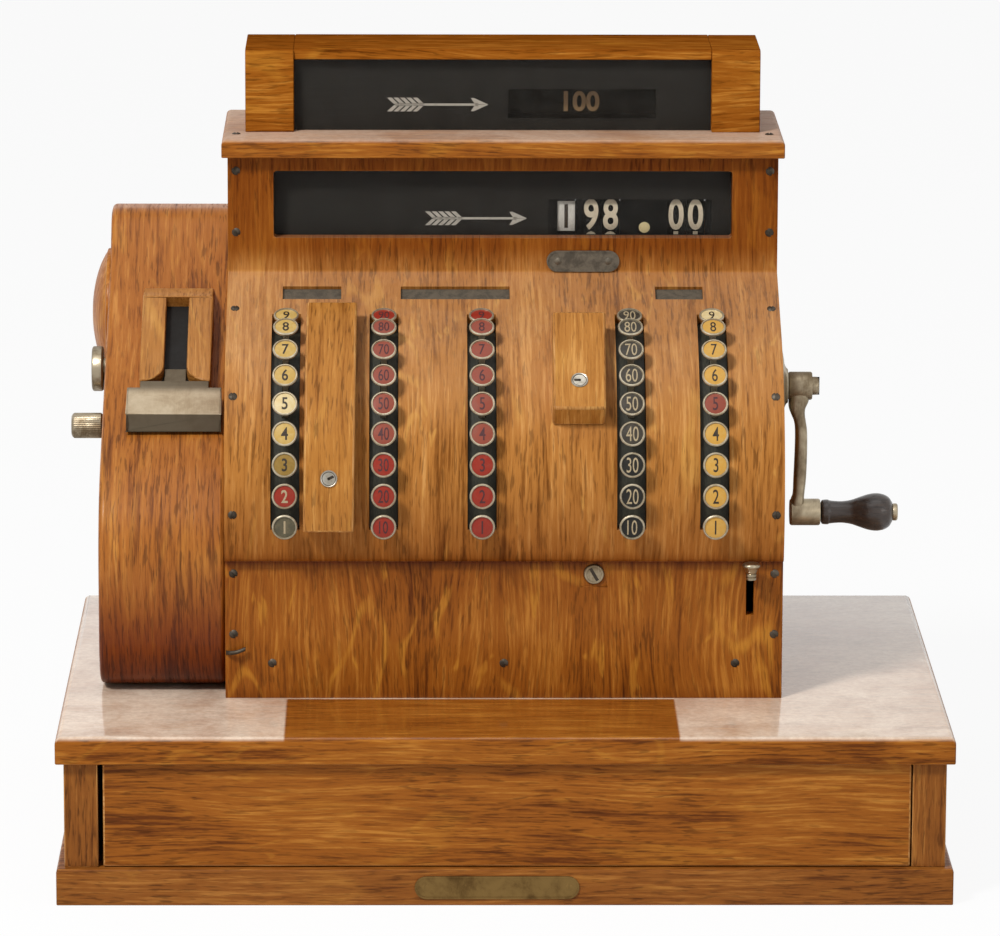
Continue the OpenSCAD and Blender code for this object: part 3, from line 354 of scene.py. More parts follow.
def key_enamel(name, main, worn):
    """Coloured disc of a key under clear celluloid, faded and rubbed in patches."""
    net, shader, _ = new_material(name)
    place = object_place(net)
    cloud = net.step(net.noise(place, 260.0, 4.0, 0.6, 0.5), 0.35, 0.75)
    specks = net.step(net.noise(place, 1700.0, 2.0), 0.6, 0.75)
    paint = net.mix(net.times(cloud, 0.5), main, worn)
    paint = net.mix(net.times(specks, 0.3), paint, [c * 0.4 for c in main])
    net.dress(shader, specks, 0.15, 0.0001, Base_Color=paint, Specular_IOR_Level=0.15,
              Roughness=net.step(cloud, 0.0, 1.0, 0.3, 0.5), Coat_Weight=0.12, Coat_Roughness=0.1)


def old_paint(name, main, worn, rough=0.5, chip=0.5, size=1.0, gloss=0.3):
    """Dull paint or blackened steel, rubbed lighter in fine uneven marks."""
    net, shader, _ = new_material(name)
    place = object_place(net)
    cloud = net.noise(place, 70.0 * size, 6.0, 0.68, 0.3)
    fine = net.noise(place, (900.0 * size, 240.0 * size, 240.0 * size), 3.0, 0.6)
    share = net.step(net.times(net.plus(cloud, fine), 0.5), 0.42, 0.66, 0.0, chip)
    net.dress(shader, fine, 0.12, 0.0001, Base_Color=net.mix(share, main, worn),
              Roughness=net.step(cloud, 0.3, 0.7, rough - 0.08, rough + 0.1),
              Specular_IOR_Level=gloss)


def window_glass(name):
    """Thin old glass: nearly clear, with a faint film of dust."""
    net, shader, _ = new_material(name)
    place = object_place(net)
    film = net.plus(net.noise(place, 60.0, 6.0, 0.7), net.noise(place, 900.0, 2.0))
    net.dress(shader, net.noise(place, 14.0), 0.08, 0.001, Base_Color=(0.15, 0.14, 0.12),
              Alpha=net.step(film, 0.8, 1.25, 0.02, 0.08),
              Roughness=net.step(net.noise(place, 90.0, 4.0), 0.4, 0.8, 0.08, 0.2))


# Finishes

OAK = ((0.120, 0.030, 0.003), (0.300, 0.092, 0.009), (0.480, 0.190, 0.028))
BROWN = ((0.095, 0.026, 0.004), (0.240, 0.078, 0.012), (0.390, 0.155, 0.030))
RED = ((0.150, 0.040, 0.005), (0.370, 0.122, 0.018), (0.520, 0.215, 0.045))
TAN = ((0.200, 0.066, 0.010), (0.430, 0.172, 0.036), (0.600, 0.290, 0.085))
PALE = ((0.240, 0.082, 0.012), (0.420, 0.170, 0.032), (0.600, 0.290, 0.075))
RUBBED = ((0.22, 0.080, 0.016), (0.42, 0.180, 0.045), (0.60, 0.32, 0.12))
EBONY = ((0.018, 0.010, 0.007), (0.045, 0.028, 0.020), (0.085, 0.056, 0.040))

varnished_oak("plinth oak", BROWN, rays=0.3)
# The slab's strong pale tint on top is dust, and a painted sheen of the white room's reflection; a
# strip in front of the body is wiped.
varnished_oak("slab oak", OAK, rough=0.3, dust_and_sheen=0.95, coat=1.0, rays=0.3, coat_on_top=True,
              wiped=(-0.150, 0.118, -0.104), dust_and_sheen_tint=(0.92, 0.76, 0.60))
varnished_oak("case oak", BROWN, rays=0.3)
varnished_oak("drawer oak", OAK, rays=0.35, sway=0.03)
varnished_oak("inside oak", PALE, rough=0.55, coat=0.0)
varnished_oak("till oak", PALE, rough=0.5, turn=ALONG_X)
# Bands: painted shade towards the top under the round's overhang, a painted shadow line just below
# its nose, and painted shade into the crease with the slab; darker towards the left end.
varnished_oak("panel oak", OAK, rays=0.9, sway=0.05, dark_bands=[
    ("Z", 0.165, 0.216, 0.35), ("Z", 0.2105, 0.2150, 0.8), ("Z", 0.128, 0.117, 0.4),
    ("X", -0.15, -0.195, 0.3)])
# The paler TAN tones stand partly for the light that falls on the round from above. Bands: painted
# shade at the foot, on the nose's underside and on the upright face under the head; slightly darker
# from the top of the round upward.
varnished_oak("round oak", TAN, rays=0.6, dust_and_sheen=0.16, gloss=0.05, dark_bands=[
    ("V", 0.070, 0.0, 0.6), ("V", 0.241, 0.266, 0.92), ("V", 0.16, 0.23, 0.2),
    ("V", 0.012, 0.002, 0.5)])
varnished_oak("side oak", OAK)
varnished_oak("back oak", BROWN, dust_and_sheen=0.2)
varnished_oak("cap oak", OAK, dust_and_sheen=0.8, rays=0.4)
varnished_oak("sign box oak", OAK, sway=0.06, gloss=0.0, coat=0.0,
              dark_bands=[("Z", 0.5462, 0.5494, 0.45)])
# Bands of painted shade on the lobe's underside, where it curves under towards the slab.
varnished_oak("printer oak", RED, coat=0.12, gloss=0.15, rays=0.3,
              dark_bands=[("Z", 0.225, 0.150, 1.0), ("Z", 0.190, 0.140, 0.4)])
varnished_oak("chute oak", PALE, dust_and_sheen=0.1)
varnished_oak("roll cover oak", RED, turn=ALONG_Z)
varnished_oak("counter cover oak", PALE, rays=0.3)
varnished_oak("rubbed edge oak", RUBBED, rough=0.3)
varnished_oak("handle wood", EBONY, rough=0.3, turn=ALONG_X, gloss=0.5, coat=0.2, rays=0.1)
worn_metal("old nickel", (0.43, 0.36, 0.25), (0.165, 0.120, 0.070), 0.36, 0.5)
# Bands of painted shade: on the upright lip, and where the tray reaches up under the chute into its
# groove.
worn_metal("tray nickel", (0.52, 0.42, 0.29), (0.34, 0.26, 0.165), 0.40, 0.6, 0.85, 0.1,
           [("Z", 0.3054, 0.3042, 0.93), ("Z", 0.3150, 0.3200, 0.85)])
worn_metal("knob nickel", (0.36, 0.30, 0.21), (0.13, 0.09, 0.05), 0.3)
worn_metal("key rim metal", (0.47, 0.41, 0.30), (0.28, 0.225, 0.14), 0.34, 3.0, 0.7)
worn_metal("old brass", (0.20, 0.12, 0.04), (0.10, 0.055, 0.018), 0.42)
worn_metal("plate grey", (0.15, 0.125, 0.09), (0.07, 0.058, 0.042), 0.5, 2.0, 0.5)
worn_metal("screw steel", (0.095, 0.078, 0.060), (0.030, 0.023, 0.016), 0.5)
worn_metal("lock nickel", (0.44, 0.41, 0.35), (0.23, 0.20, 0.155), 0.3, 2.0)
# Near-black painted shade for the chute's deep paper groove and the crank hub's slot.
old_paint("painted recess shade", (0.006, 0.005, 0.004), (0.014, 0.010, 0.007), 0.7, 0.4)
old_paint("slot black", (0.017, 0.017, 0.011), (0.055, 0.052, 0.034), chip=0.6)
old_paint("mask black", (0.015, 0.0135, 0.011), (0.026, 0.023, 0.019), gloss=0.1)
old_paint("wheel black", (0.003, 0.003, 0.003), (0.011, 0.010, 0.008), chip=0.4, gloss=0.02)
old_paint("sign brown", (0.004, 0.003, 0.002), (0.010, 0.006, 0.003), gloss=0.02)
old_paint("bronze ink", (0.26, 0.155, 0.065), (0.13, 0.07, 0.03), size=3.0)
old_paint("cream paint", (0.62, 0.53, 0.38), (0.38, 0.30, 0.20), size=2.0)
old_paint("dot paint", (0.60, 0.50, 0.26), (0.40, 0.30, 0.14), size=2.0)
old_paint("tab white", (0.60, 0.57, 0.50), (0.40, 0.36, 0.30), 0.45, 0.4)
old_paint("arrow grey", (0.40, 0.37, 0.31), (0.24, 0.21, 0.17))
# Dark print on the keys and the tab, and also the painted shade of keyholes, the panel lock's slot
# and the lock rings' grooves.
old_paint("dark ink and painted hole shade", (0.022, 0.014, 0.008), (0.07, 0.045, 0.02), 0.45, size=4.0)
old_paint("light ink", (0.42, 0.33, 0.20), (0.22, 0.16, 0.09), 0.45, size=4.0)
old_paint("engraved red", (0.050, 0.014, 0.016), (0.12, 0.035, 0.032), size=4.0)
for name, main, worn in (
        ("red", (0.28, 0.024, 0.012), (0.27, 0.050, 0.030)),
        ("faded red", (0.27, 0.060, 0.036), (0.235, 0.080, 0.052)),
        ("black", (0.013, 0.012, 0.010), (0.030, 0.026, 0.020)),
        ("worn black", (0.040, 0.034, 0.026), (0.085, 0.068, 0.050)),
        ("yellow", (0.58, 0.31, 0.055), (0.58, 0.38, 0.12)),
        ("cream", (0.52, 0.33, 0.085), (0.62, 0.46, 0.20)),
        ("ivory", (0.66, 0.50, 0.24), (0.74, 0.64, 0.42)),
        ("olive", (0.26, 0.155, 0.032), (0.34, 0.22, 0.07)),
        ("grey", (0.085, 0.075, 0.045), (0.19, 0.15, 0.085))):
    key_enamel(name + " enamel", main, worn)
window_glass("window glass")
photo_camera()


# Shapes, worked out as arrays

def stacked(*columns):
    """Points from columns of coordinates; a plain number counts for all of them."""
    return np.stack(np.broadcast_arrays(*columns), -1)


def round_angles(count):
    return np.arange(count) * 2 * np.pi / count


def heading(degrees):
    """Unit step in a side view, so many degrees over the level."""
    return np.array([math.cos(math.radians(degrees)), math.sin(math.radians(degrees))])


def grid_faces(rows, cols, wrap=False):
    """Quads between neighbours of a rows by cols grid; wrap joins the last column to the first."""
    r = np.arange(rows - 1)[:, None]
    c = np.arange(cols if wrap else cols - 1)[None, :]
    d = (c + 1) % cols
    return stacked(r * cols + c, r * cols + d, (r + 1) * cols + d,
                   (r + 1) * cols + c).reshape(-1, 4).tolist()


def joined(*parts):
    """One list of points and one of faces from several."""
    points, faces, start = [], [], 0
    for p, f in parts:
        points.append(np.asarray(p, float))
        faces += [[i + start for i in face] for face in f]
        start += len(p)
    return np.concatenate(points), faces


def set_in(part, origin, across=(1, 0, 0), along=(0, 1, 0), out=(0, 0, 1)):
    """Carries a shape to a place: point = origin + x across + y along + z out."""
    points, faces = part
    return points @ np.array([across, along, out], float) + np.asarray(origin, float), faces


def facing(angle):
    """Axes of a surface that looks to the front and up by an angle: across is X, along goes up."""
    level, rise = heading(angle)
    return dict(across=(1, 0, 0), along=(0, rise, level), out=(0, -level, rise))


FRONT = facing(0)
LEFT = dict(across=(0, 0, 1), along=(0, 1, 0), out=(-1, 0, 0))
RIGHT = dict(across=(0, 1, 0), along=(0, 0, 1), out=(1, 0, 0))


def moved(place, up=0.0, out=0.0):
    """The same axes, with the place moved along two of them."""
    origin = np.array(place["origin"]) + up * np.array(place["along"]) + out * np.array(place["out"])
    return dict(place, origin=origin)


def lathe(profile, sides=48, wave=0.0):
    """Turned surface: at each height h and angle a the point (r cos a, r sin a, h); a wave may be
    added to r."""
    r, h = np.asarray(profile, float).T
    a = round_angles(sides)
    r = r[:, None] + wave
    return stacked(r * np.cos(a), r * np.sin(a), h[:, None]).reshape(-1, 3), grid_faces(
        len(h), sides, True)


def through(points, steps=5):
    """Smooth curve through points: between two of them a cubic whose slope at each point is half
    the step from the point before to the point after."""
    p = np.asarray(points, float)
    q = np.vstack([2 * p[0] - p[1], p, 2 * p[-1] - p[-2]])
    t = np.linspace(0, 1, steps, endpoint=False)[None, :, None]
    a, b, c, d = q[:-3, None], q[1:-2, None], q[2:-1, None], q[3:, None]
    curve = 0.5 * (2 * b + (c - a) * t + (2 * a - 5 * b + 4 * c - d) * t ** 2
                   + (3 * b - a - 3 * c + d) * t ** 3)
    return np.vstack([curve.reshape(-1, p.shape[1]), p[-1:]])


def way_along(path):
    """Distance from the first point to each point of a path."""
    return np.append(0, np.cumsum(np.linalg.norm(np.diff(path, axis=0), axis=1)))


def arc(cy, cz, r, a0, a1, steps):
    """Points on a circle round (cy, cz) from angle a0 to a1, in degrees."""
    a = np.radians(np.linspace(a0, a1, steps))
    return stacked(cy + r * np.cos(a), cz + r * np.sin(a))


def prism(outline, start, stop, axis=ACROSS):
    """Closed outline carried along one axis; it is drawn in the other two, in their order."""
    a, b = np.asarray(outline, float).T
    i = np.arange(len(a))
    j = np.roll(i, -1)
    points = np.vstack([stacked(start, a, b), stacked(stop, a, b)])
    sides, ends = stacked(i, j, j + len(a), i + len(a)), np.array([i[::-1], i + len(a)])
    return points[:, [(0, 1, 2), (1, 0, 2), (1, 2, 0)][axis]], sides.tolist() + ends.tolist()


def box(low, high):
    """Plain block, as a side view of four corners carried along X."""
    (x0, y0, z0), (x1, y1, z1) = low, high
    return prism([(y0, z0), (y1, z0), (y1, z1), (y0, z1)], x0, x1)


def tube(rings):
    """Closed rings of points, one after another, with a flat end at each side."""
    n, m = rings.shape[:2]
    ends = [list(range(m))[::-1], [(n - 1) * m + k for k in range(m)]]
    return rings.reshape(-1, 3), grid_faces(n, m, True) + ends


def board_rings(low, high, insets, heights):
    """Four corners of a board seen from above, drawn in by each inset, at each height."""
    (x0, y0, _), (x1, y1, _) = low, high
    d = np.array(insets, float)
    corners = (x0 + d, y0 + d), (x1 - d, y0 + d), (x1 - d, y1 - d), (x0 + d, y1 - d)
    return tube(np.stack([stacked(x, y, heights) for x, y in corners], 1))


def rounded_board(low, high, r, steps=5):
    """Board whose upper edges are rounded: at the angle a the outline steps in by r (1 - cos a) at
    the height r sin a into the rounding."""
    a = np.linspace(0, np.pi / 2, steps)
    return board_rings(low, high, np.append(0, r * (1 - np.cos(a))),
                       np.append(low[UP], high[UP] - r + r * np.sin(a)))


def open_tray(low, high, wall, floor):
    """Open box: its outline goes up outside, in by the wall and down to the floor."""
    return board_rings(low, high, [0, 0, wall, wall],
                       [low[UP], high[UP], high[UP], low[UP] + floor])


def domed_slot_head(d, h, slot, depth):
    """Screw head with a slot: a disc cut into strips along x; height is h (1 - 0.8 r^2 / R^2),
    lower by the slot's depth near x = 0. Its rim goes a little into the wood."""
    r, s, fine, sunk = d / 2, slot / 2, 0.05, 0.3
    cap = r * np.cos(np.linspace(0, 1.2, 5))
    x = np.concatenate([-cap, [-s - fine, -s, s, s + fine], cap[::-1]])
    v = np.concatenate([[-1.0], np.linspace(-1, 1, 11), [1.0]])
    y = np.sqrt(np.maximum(r * r - x * x, 0))[:, None] * v
    z = h * (1 - 0.8 * (x[:, None] ** 2 + y ** 2) / (r * r))
    z = z - depth * (np.abs(x[:, None]) < s + fine / 2)
    z[:, 0] = z[:, -1] = -sunk
    return stacked(x[:, None], y, z).reshape(-1, 3), grid_faces(len(x), len(v))


def walled_sheet(outer, inner, xs, keep):
    """Closed wall between two side views with the same rows, carried along xs, without the cells
    that aren't kept. A rim quad joins both skins wherever a kept cell has no neighbour. Gives the
    part and its grain map: X, and the way along the outer side view."""
    rows, cols = len(outer), len(xs)
    skins = [stacked(xs, path[:, :1], path[:, 1:]).reshape(-1, 3) for path in (outer, inner)]
    n = rows * cols
    quads = np.array(grid_faces(rows, cols)).reshape(rows - 1, cols - 1, 4)
    faces = quads[keep].tolist() + (quads[keep][:, ::-1] + n).tolist()
    room = np.pad(keep, 1)
    for dr, dc, a, b in ((0, 1, 0, 1), (1, 2, 1, 2), (2, 1, 2, 3), (1, 0, 3, 0)):
        bare = keep & ~room[dr:dr + rows - 1, dc:dc + cols - 1]
        edge = quads[bare][:, [b, a]]
        faces += np.column_stack([edge, edge[:, ::-1] + n]).tolist()
    maps = np.tile(xs, 2 * rows), np.tile(np.repeat(way_along(outer), cols), 2)
    return (np.concatenate(skins), faces), maps


def numeral(text, height, squeeze, bold, cuts=0):
    """Flat number, height high, in the XY plane with its middle at the origin. Level cuts let it
    bend."""
    data = bpy.data.curves.new("numeral", "FONT")
    data.body, data.offset, data.resolution_u = text, bold, 4
    data.align_x, data.align_y = "CENTER", "CENTER"
    holder = bpy.data.objects.new("numeral", data)
    work = bmesh.new()
    work.from_mesh(holder.to_mesh())
    heights = [v.co.y for v in work.verts]
    for level in np.linspace(min(heights), max(heights), cuts + 1)[1:-1]:
        bmesh.ops.bisect_plane(work, geom=work.verts[:] + work.edges[:] + work.faces[:],
                               plane_co=(0, level, 0), plane_no=(0, 1, 0))
    work.verts.index_update()
    points = np.array([v.co for v in work.verts])
    faces = [[v.index for v in face.verts] for face in work.faces]
    work.free()
    bpy.data.objects.remove(holder)
    bpy.data.curves.remove(data)
    points -= (points.max(0) + points.min(0)) / 2
    points *= height / np.ptp(points[:, 1])
    return points * (squeeze, 1, 0), faces


# Making a piece

def corner_data(mesh):
    """For each face corner: its point's number, its place and its face's normal."""
    corner = np.array([i for face in mesh.polygons for i in face.vertices])
    place = np.array([v.co for v in mesh.vertices])[corner]
    return corner, place, np.array([face.normal for face in mesh.polygons for _ in face.vertices])


def set_grain(mesh, u, v):
    layer = mesh.uv_layers.new(name="grain")
    layer.data.foreach_set("uv", np.column_stack([u, v]).ravel())


def map_boards(mesh, axis, board):
    """Grain map of a flat board: v runs along the fibres' axis and u across them, each face from
    the side that it looks to; end grain is drawn short."""
    corner, place, normal = corner_data(mesh)
    normal = np.abs(normal)
    first, second = [k for k in range(3) if k != axis]
    end = normal[:, axis] > 0.7
    turned = (normal[:, first] > normal[:, second]) & ~end
    u = np.where(turned, place[:, second] + 0.37, place[:, first])
    v = np.where(end, place[:, second] * 14, place[:, axis])
    set_grain(mesh, u + 0.11 * board, v)


def map_outline(mesh, outline):
    """Grain map of one side view carried along X: v is the way along the outline and u is X; the
    flat ends take Y and Z."""
    corner, place, _ = corner_data(mesh)
    way = way_along(np.vstack([outline, outline[:1]]) * MM)
    n = len(outline)
    v = way[corner % n]
    closing = np.arange(4 * (n - 1), 4 * n)
    v[closing] = np.where(corner[closing] % n == 0, way[n], v[closing])
    end = np.arange(len(corner)) >= 4 * n
    set_grain(mesh, np.where(end, place[:, 1] + 0.5, place[:, 0]), np.where(end, place[:, 2], v))


def map_sheet(mesh, across, along):
    """Grain map of a bent sheet from one pair of numbers for each point, in millimetres."""
    corner = corner_data(mesh)[0]
    set_grain(mesh, across[corner] * MM, along[corner] * MM)


def new_piece(name, part, finish, nodes=(), body="register", grain=None, wall=0.0, edge=0.0,
              sharp=34, merge=True, sheet=None, outline=None, rubbed=False, segments=2):
    """Makes one piece: its mesh in metres, its grain map, its wall and edges, what it moves with
    and which nodes it stands for."""
    mesh = bpy.data.meshes.new(name)
    points, faces = part
    mesh.from_pydata((np.asarray(points) * MM).tolist(), [], faces)
    mesh.update()
    if sheet is not None:
        map_sheet(mesh, *sheet)
    if outline is not None:
        map_outline(mesh, outline)
    if merge:
        work = bmesh.new()
        work.from_mesh(mesh)
        bmesh.ops.remove_doubles(work, verts=work.verts[:], dist=1e-6)
        bmesh.ops.dissolve_degenerate(work, edges=work.edges[:], dist=1e-7)
        bmesh.ops.recalc_face_normals(work, faces=work.faces[:])
        work.to_mesh(mesh)
        work.free()
    if grain is not None:
        map_boards(mesh, grain, BOARDS[finish])
    mesh.materials.append(bpy.data.materials[finish])
    thing = add_object(name, mesh)
    mesh.shade_smooth()
    mesh.set_sharp_from_angle(angle=math.radians(sharp))
    if wall:
        solid = thing.modifiers.new("wall", "SOLIDIFY")
        solid.thickness, solid.offset, solid.use_even_offset = wall * MM, -1.0, True
    if edge:
        bevel = thing.modifiers.new("edges", "BEVEL")
        bevel.width, bevel.segments, bevel.limit_method = edge * MM, segments, "ANGLE"
        bevel.angle_limit, bevel.use_clamp_overlap = math.radians(34), True
        if rubbed:
            mesh.materials.append(bpy.data.materials["rubbed edge oak"])
            bevel.material = 1
    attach(thing, body)
    if nodes:
        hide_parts(nodes)


# Cabinet

def on_round(angle, radius=ROUND_R):
    """Side view: points on a circle round the keyboard's centre, at angles over the level."""
    a = np.radians(angle)
    return stacked(ROUND_Y - radius * np.cos(a), ROUND_Z + radius * np.sin(a))


def at_round(x, angle, radius=ROUND_R):
    """Place and axes on the round keyboard, looking away from its centre."""
    return dict(facing(angle), origin=(x, *on_round(angle, radius)))


def round_angle(z, radius):
    return math.degrees(math.asin((z - ROUND_Z) / radius))


SLOPE_WAY = heading(SHOULDER)
SLOPE_FOOT = on_round(TANGENT)
SLOPE_L = (FACE_Y - SLOPE_FOOT[0]) / SLOPE_WAY[0]
SHOULDER_WINDOW_UP = SLOPE_L - SHOULDER_WINDOW_DOWN
BEND_RISE = (1 - SLOPE_WAY[1]) / SLOPE_WAY[0]
BEND_Z = SLOPE_FOOT[1] + SLOPE_L * SLOPE_WAY[1]
BEND_CENTRE = (FACE_Y - BEND_R, BEND_Z + BEND_R * BEND_RISE)
NOSE_ROWS, LOW_ROWS, ROUND_ROWS, MARK_ROWS, BEND_ROWS = 7, 4, 41, 4, 7
SLOT_LOW = NOSE_ROWS + LOW_ROWS - 1
SLOT_HIGH = SLOT_LOW + ROUND_ROWS + 1
FACE_ROW = SLOT_HIGH + MARK_ROWS + BEND_ROWS


def front_path(inset):
    """Side view of the round front, drawn in by inset, with the same rows for every inset: the
    foot's nose, the round, the shoulder's slope with its marks, the hollow bend and the face."""
    r = ROUND_R - inset
    nose_angle = round_angle(PANEL_TOP + NOSE_R, ROUND_R - NOSE_R)
    if inset:
        nose = on_round(np.linspace(round_angle(PANEL_TOP, r), nose_angle, NOSE_ROWS), r)
    else:
        nose = arc(*on_round(nose_angle, ROUND_R - NOSE_R), NOSE_R, 270, 180 - nose_angle, NOSE_ROWS)
    low = on_round(np.linspace(nose_angle, SLOT_FROM, LOW_ROWS + 1)[1:], r)
    rest = on_round(np.linspace(SLOT_FROM, TANGENT, ROUND_ROWS + 1)[1:], r)
    foot = rest[-1]
    bend = BEND_R + inset
    length = (FACE_Y + inset - foot[0]) / SLOPE_WAY[0]
    half = SHOULDER_WINDOW_L / 2
    marks = [r * math.tan(math.radians(SLOT_TO - TANGENT)), SHOULDER_WINDOW_UP - half,
             SHOULDER_WINDOW_UP + half, length - bend * BEND_RISE]
    hollow = arc(*BEND_CENTRE, bend, -TANGENT, 0, BEND_ROWS + 1)[1:]
    face = [(FACE_Y + inset, z) for z in (WINDOW_LOW, WINDOW_HIGH, HEAD_TOP)]
    return np.vstack([nose, low, rest, foot + np.outer(marks, SLOPE_WAY), hollow, face])


def keyboard_cover():
    """Wall over the grid of X and the way along the side view, without the cells of slots and
    windows; four small blocks round the amount window's corners."""
    edges = [-HALF_W, HALF_W, -WINDOW_HALF, WINDOW_HALF] + [x for w in SHOULDER_WINDOWS for x in w]
    xs = np.array(sorted(edges + [x + s * SLOT_W / 2 for x in COLUMNS for s in (-1, 1)]))
    middle = (xs[:-1] + xs[1:]) / 2
    outer = front_path(0)
    keep = np.ones((len(outer) - 1, len(xs) - 1), bool)
    for x in COLUMNS:
        keep[SLOT_LOW:SLOT_HIGH, np.abs(middle - x) < SLOT_W / 2] = False
    for a, b in SHOULDER_WINDOWS:
        keep[SLOT_HIGH + 1, (middle > a) & (middle < b)] = False
    keep[FACE_ROW, np.abs(middle) < WINDOW_HALF] = False
    part, maps = walled_sheet(outer, front_path(WALL), xs, keep)
    corners = [window_corner(side, z, way) for side in (-1, 1)
               for z, way in ((WINDOW_LOW, 1), (WINDOW_HIGH, -1))]
    extra = np.concatenate([points for points, _ in corners])
    at_face = maps[1][FACE_ROW * len(xs)] - WINDOW_LOW
    maps = np.append(maps[0], extra[:, 0]), np.append(maps[1], extra[:, 2] + at_face)
    return joined(part, *corners), maps


def window_corner(side, z, way):
    """Block that fills one corner of the amount window outside a quarter circle."""
    a = np.linspace(0, np.pi / 2, 6)
    r = WINDOW_CORNER
    curve = stacked(side * (WINDOW_HALF - r * (1 - np.sin(a))), z + way * r * (1 - np.cos(a)))
    return prism(np.vstack([curve, [(side * WINDOW_HALF, z)]]), FACE_Y, FACE_Y + WALL, DEEP)


def back_path(inset):
    """Side view of the cabinet's back, drawn in by inset, from the head's top down to the deck."""
    r, cy, top, ledge = 70.0, 120.0, DECK + 262, 14
    cz = top - (r - ledge * SLOPE_WAY[1]) / SLOPE_WAY[0]
    rear = arc(cy, cz, r - inset, TANGENT, 0, 24)
    tail = HEAD_BACK - inset
    foot = rear[0, 1] + (rear[0, 0] - tail) * SLOPE_WAY[1] / SLOPE_WAY[0]
    head = [(tail, z) for z in (HEAD_TOP, WINDOW_HIGH, WINDOW_LOW, foot)]
    return np.vstack([head, rear, [(BACK_Y - inset, DECK)]])


def cabinet_back():
    """Wall along the back's side view, with the rear window left out."""
    outer = back_path(0)
    xs = np.array([-HALF_W, -WINDOW_HALF, WINDOW_HALF, HALF_W])
    keep = np.ones((len(outer) - 1, 3), bool)
    keep[1, 1] = False
    return walled_sheet(outer, back_path(WALL), xs, keep)


def side_outline():
    """Side view of a side board: the cabinet's outline drawn in by the wall."""
    front, panel = front_path(WALL), PANEL_Y + WALL
    bend = front[FACE_ROW - BEND_ROWS - 1:FACE_ROW][::-1]
    return np.vstack([[(panel, PANEL_TOP), (panel, DECK)], back_path(WALL)[::-1], front[-1:], bend,
                      front[NOSE_ROWS:SLOT_HIGH + 1][::-1], front[:1] + [(0.0, 0.5)]])


def lower_panel():
    """Board with a round hole for the lock and an upright slot for the lever: cells of a grid are
    left out, and a ring of quads joins the round hole to its square cell."""
    hole_r, half, sides = 7.05, 9.0, 32
    lever_x, lever_half, lever_low, lever_high = node_middle("release_lever")[0], 2.7, 177.0, 212.0
    xs = np.array([-HALF_W, LOCK_X - half, LOCK_X + half, lever_x - lever_half,
                   lever_x + lever_half, HALF_W])
    zs = np.array([DECK, lever_low, LOCK_Z - half, lever_high, LOCK_Z + half, PANEL_TOP])
    keep = np.ones((len(zs) - 1, len(xs) - 1), bool)
    keep[2:4, 1] = keep[1:3, 3] = False
    faces = np.array(grid_faces(len(zs), len(xs))).reshape(*keep.shape, 4)[keep]
    points = stacked(xs, PANEL_Y, zs[:, None]).reshape(-1, 3)
    a = round_angles(sides)
    square = half / np.maximum(np.abs(np.cos(a)), np.abs(np.sin(a)))
    ring = [stacked(LOCK_X + r * np.cos(a), PANEL_Y, LOCK_Z + r * np.sin(a))
            for r in (hole_r, square)]
    ring_faces = [face[::-1] for face in grid_faces(2, sides, True)]
    return joined((points, faces.tolist()), (np.vstack(ring), ring_faces))


def case_walls(wall=23):
    """Two side walls and a back wall round the drawer, seen from above and carried up."""
    (x0, y0, z0), (x1, y1, z1) = node_box("base_case")
    outline = [(x0, y0), (x0, y1), (x1, y1), (x1, y0), (x1 - wall, y0), (x1 - wall, y1 - wall),
               (x0 + wall, y1 - wall), (x0 + wall, y0)]
    return prism(outline, z0, z1, UP)


def sign_section(y0, y1, z0, z1, r):
    """Side view with both upper corners rounded."""
    return np.vstack([arc(y0 + r, z1 - r, r, 180, 90, 8), arc(y1 - r, z1 - r, r, 90, 0, 8),
                      [(y1, z0), (y0, z0)]])


def sign_box(cheek_w=34, inset=2.5, bridge_h=7.5):
    """Two cheeks with a bridge over the opening between them."""
    (x0, y0, z0), (x1, y1, z1) = node_box("sign_box")
    cheek = sign_section(y0, y1, z0, z1, 5)
    bridge = sign_section(y0 + inset, y1 - inset, z1 - bridge_h, z1, 1.5)
    return joined(prism(cheek, x0, x0 + cheek_w), prism(cheek, x1 - cheek_w, x1),
                  prism(bridge, x0 + cheek_w, x1 - cheek_w))


def build_cabinet(side_w=18):
    new_piece("plinth_board", rounded_board(*node_box("plinth"), 2.5), "plinth oak",
              "plinth", grain=ACROSS, edge=0.8)
    new_piece("drawer_case", case_walls(), "case oak", "base_case", grain=UP, edge=0.8,
              rubbed=True)
    new_piece("slab", rounded_board(*node_box("base_top"), 5, 7), "slab oak",
              "base_top", grain=ACROSS, edge=1.0)
    new_piece("lower_board", lower_panel(), "panel oak", "lower_panel", grain=UP,
              wall=WALL, edge=0.5)
    part, maps = keyboard_cover()
    new_piece("keyboard_sheet", part, "round oak", "keyboard_cover", edge=0.8,
              sheet=maps, sharp=30, rubbed=True)
    part, maps = cabinet_back()
    new_piece("back_sheet", part, "back oak", "cabinet_back", edge=0.7, sheet=maps,
              sharp=30)
    sides = [prism(side_outline(), x, x + side_w) for x in (-HALF_W, HALF_W - side_w)]
    new_piece("side_boards", joined(*sides), "side oak", "cabinet_sides", grain=UP)
    new_piece("cap_board", rounded_board(*node_box("head_cap"), 4, 6), "cap oak",
              "head_cap", grain=ACROSS, edge=0.8)
    new_piece("drawer_face", box(*node_box("drawer_front")), "drawer oak",
              "drawer_front", "drawer", grain=ACROSS, edge=1.2, rubbed=True)
    new_piece("drawer_tray", open_tray(*node_box("drawer_box"), 9, 8), "inside oak",
              "drawer_box", "drawer", grain=ACROSS, edge=0.8)
    new_piece("sign_housing", sign_box(), "sign box oak", "sign_box", grain=ACROSS,
              edge=0.7)


# Display

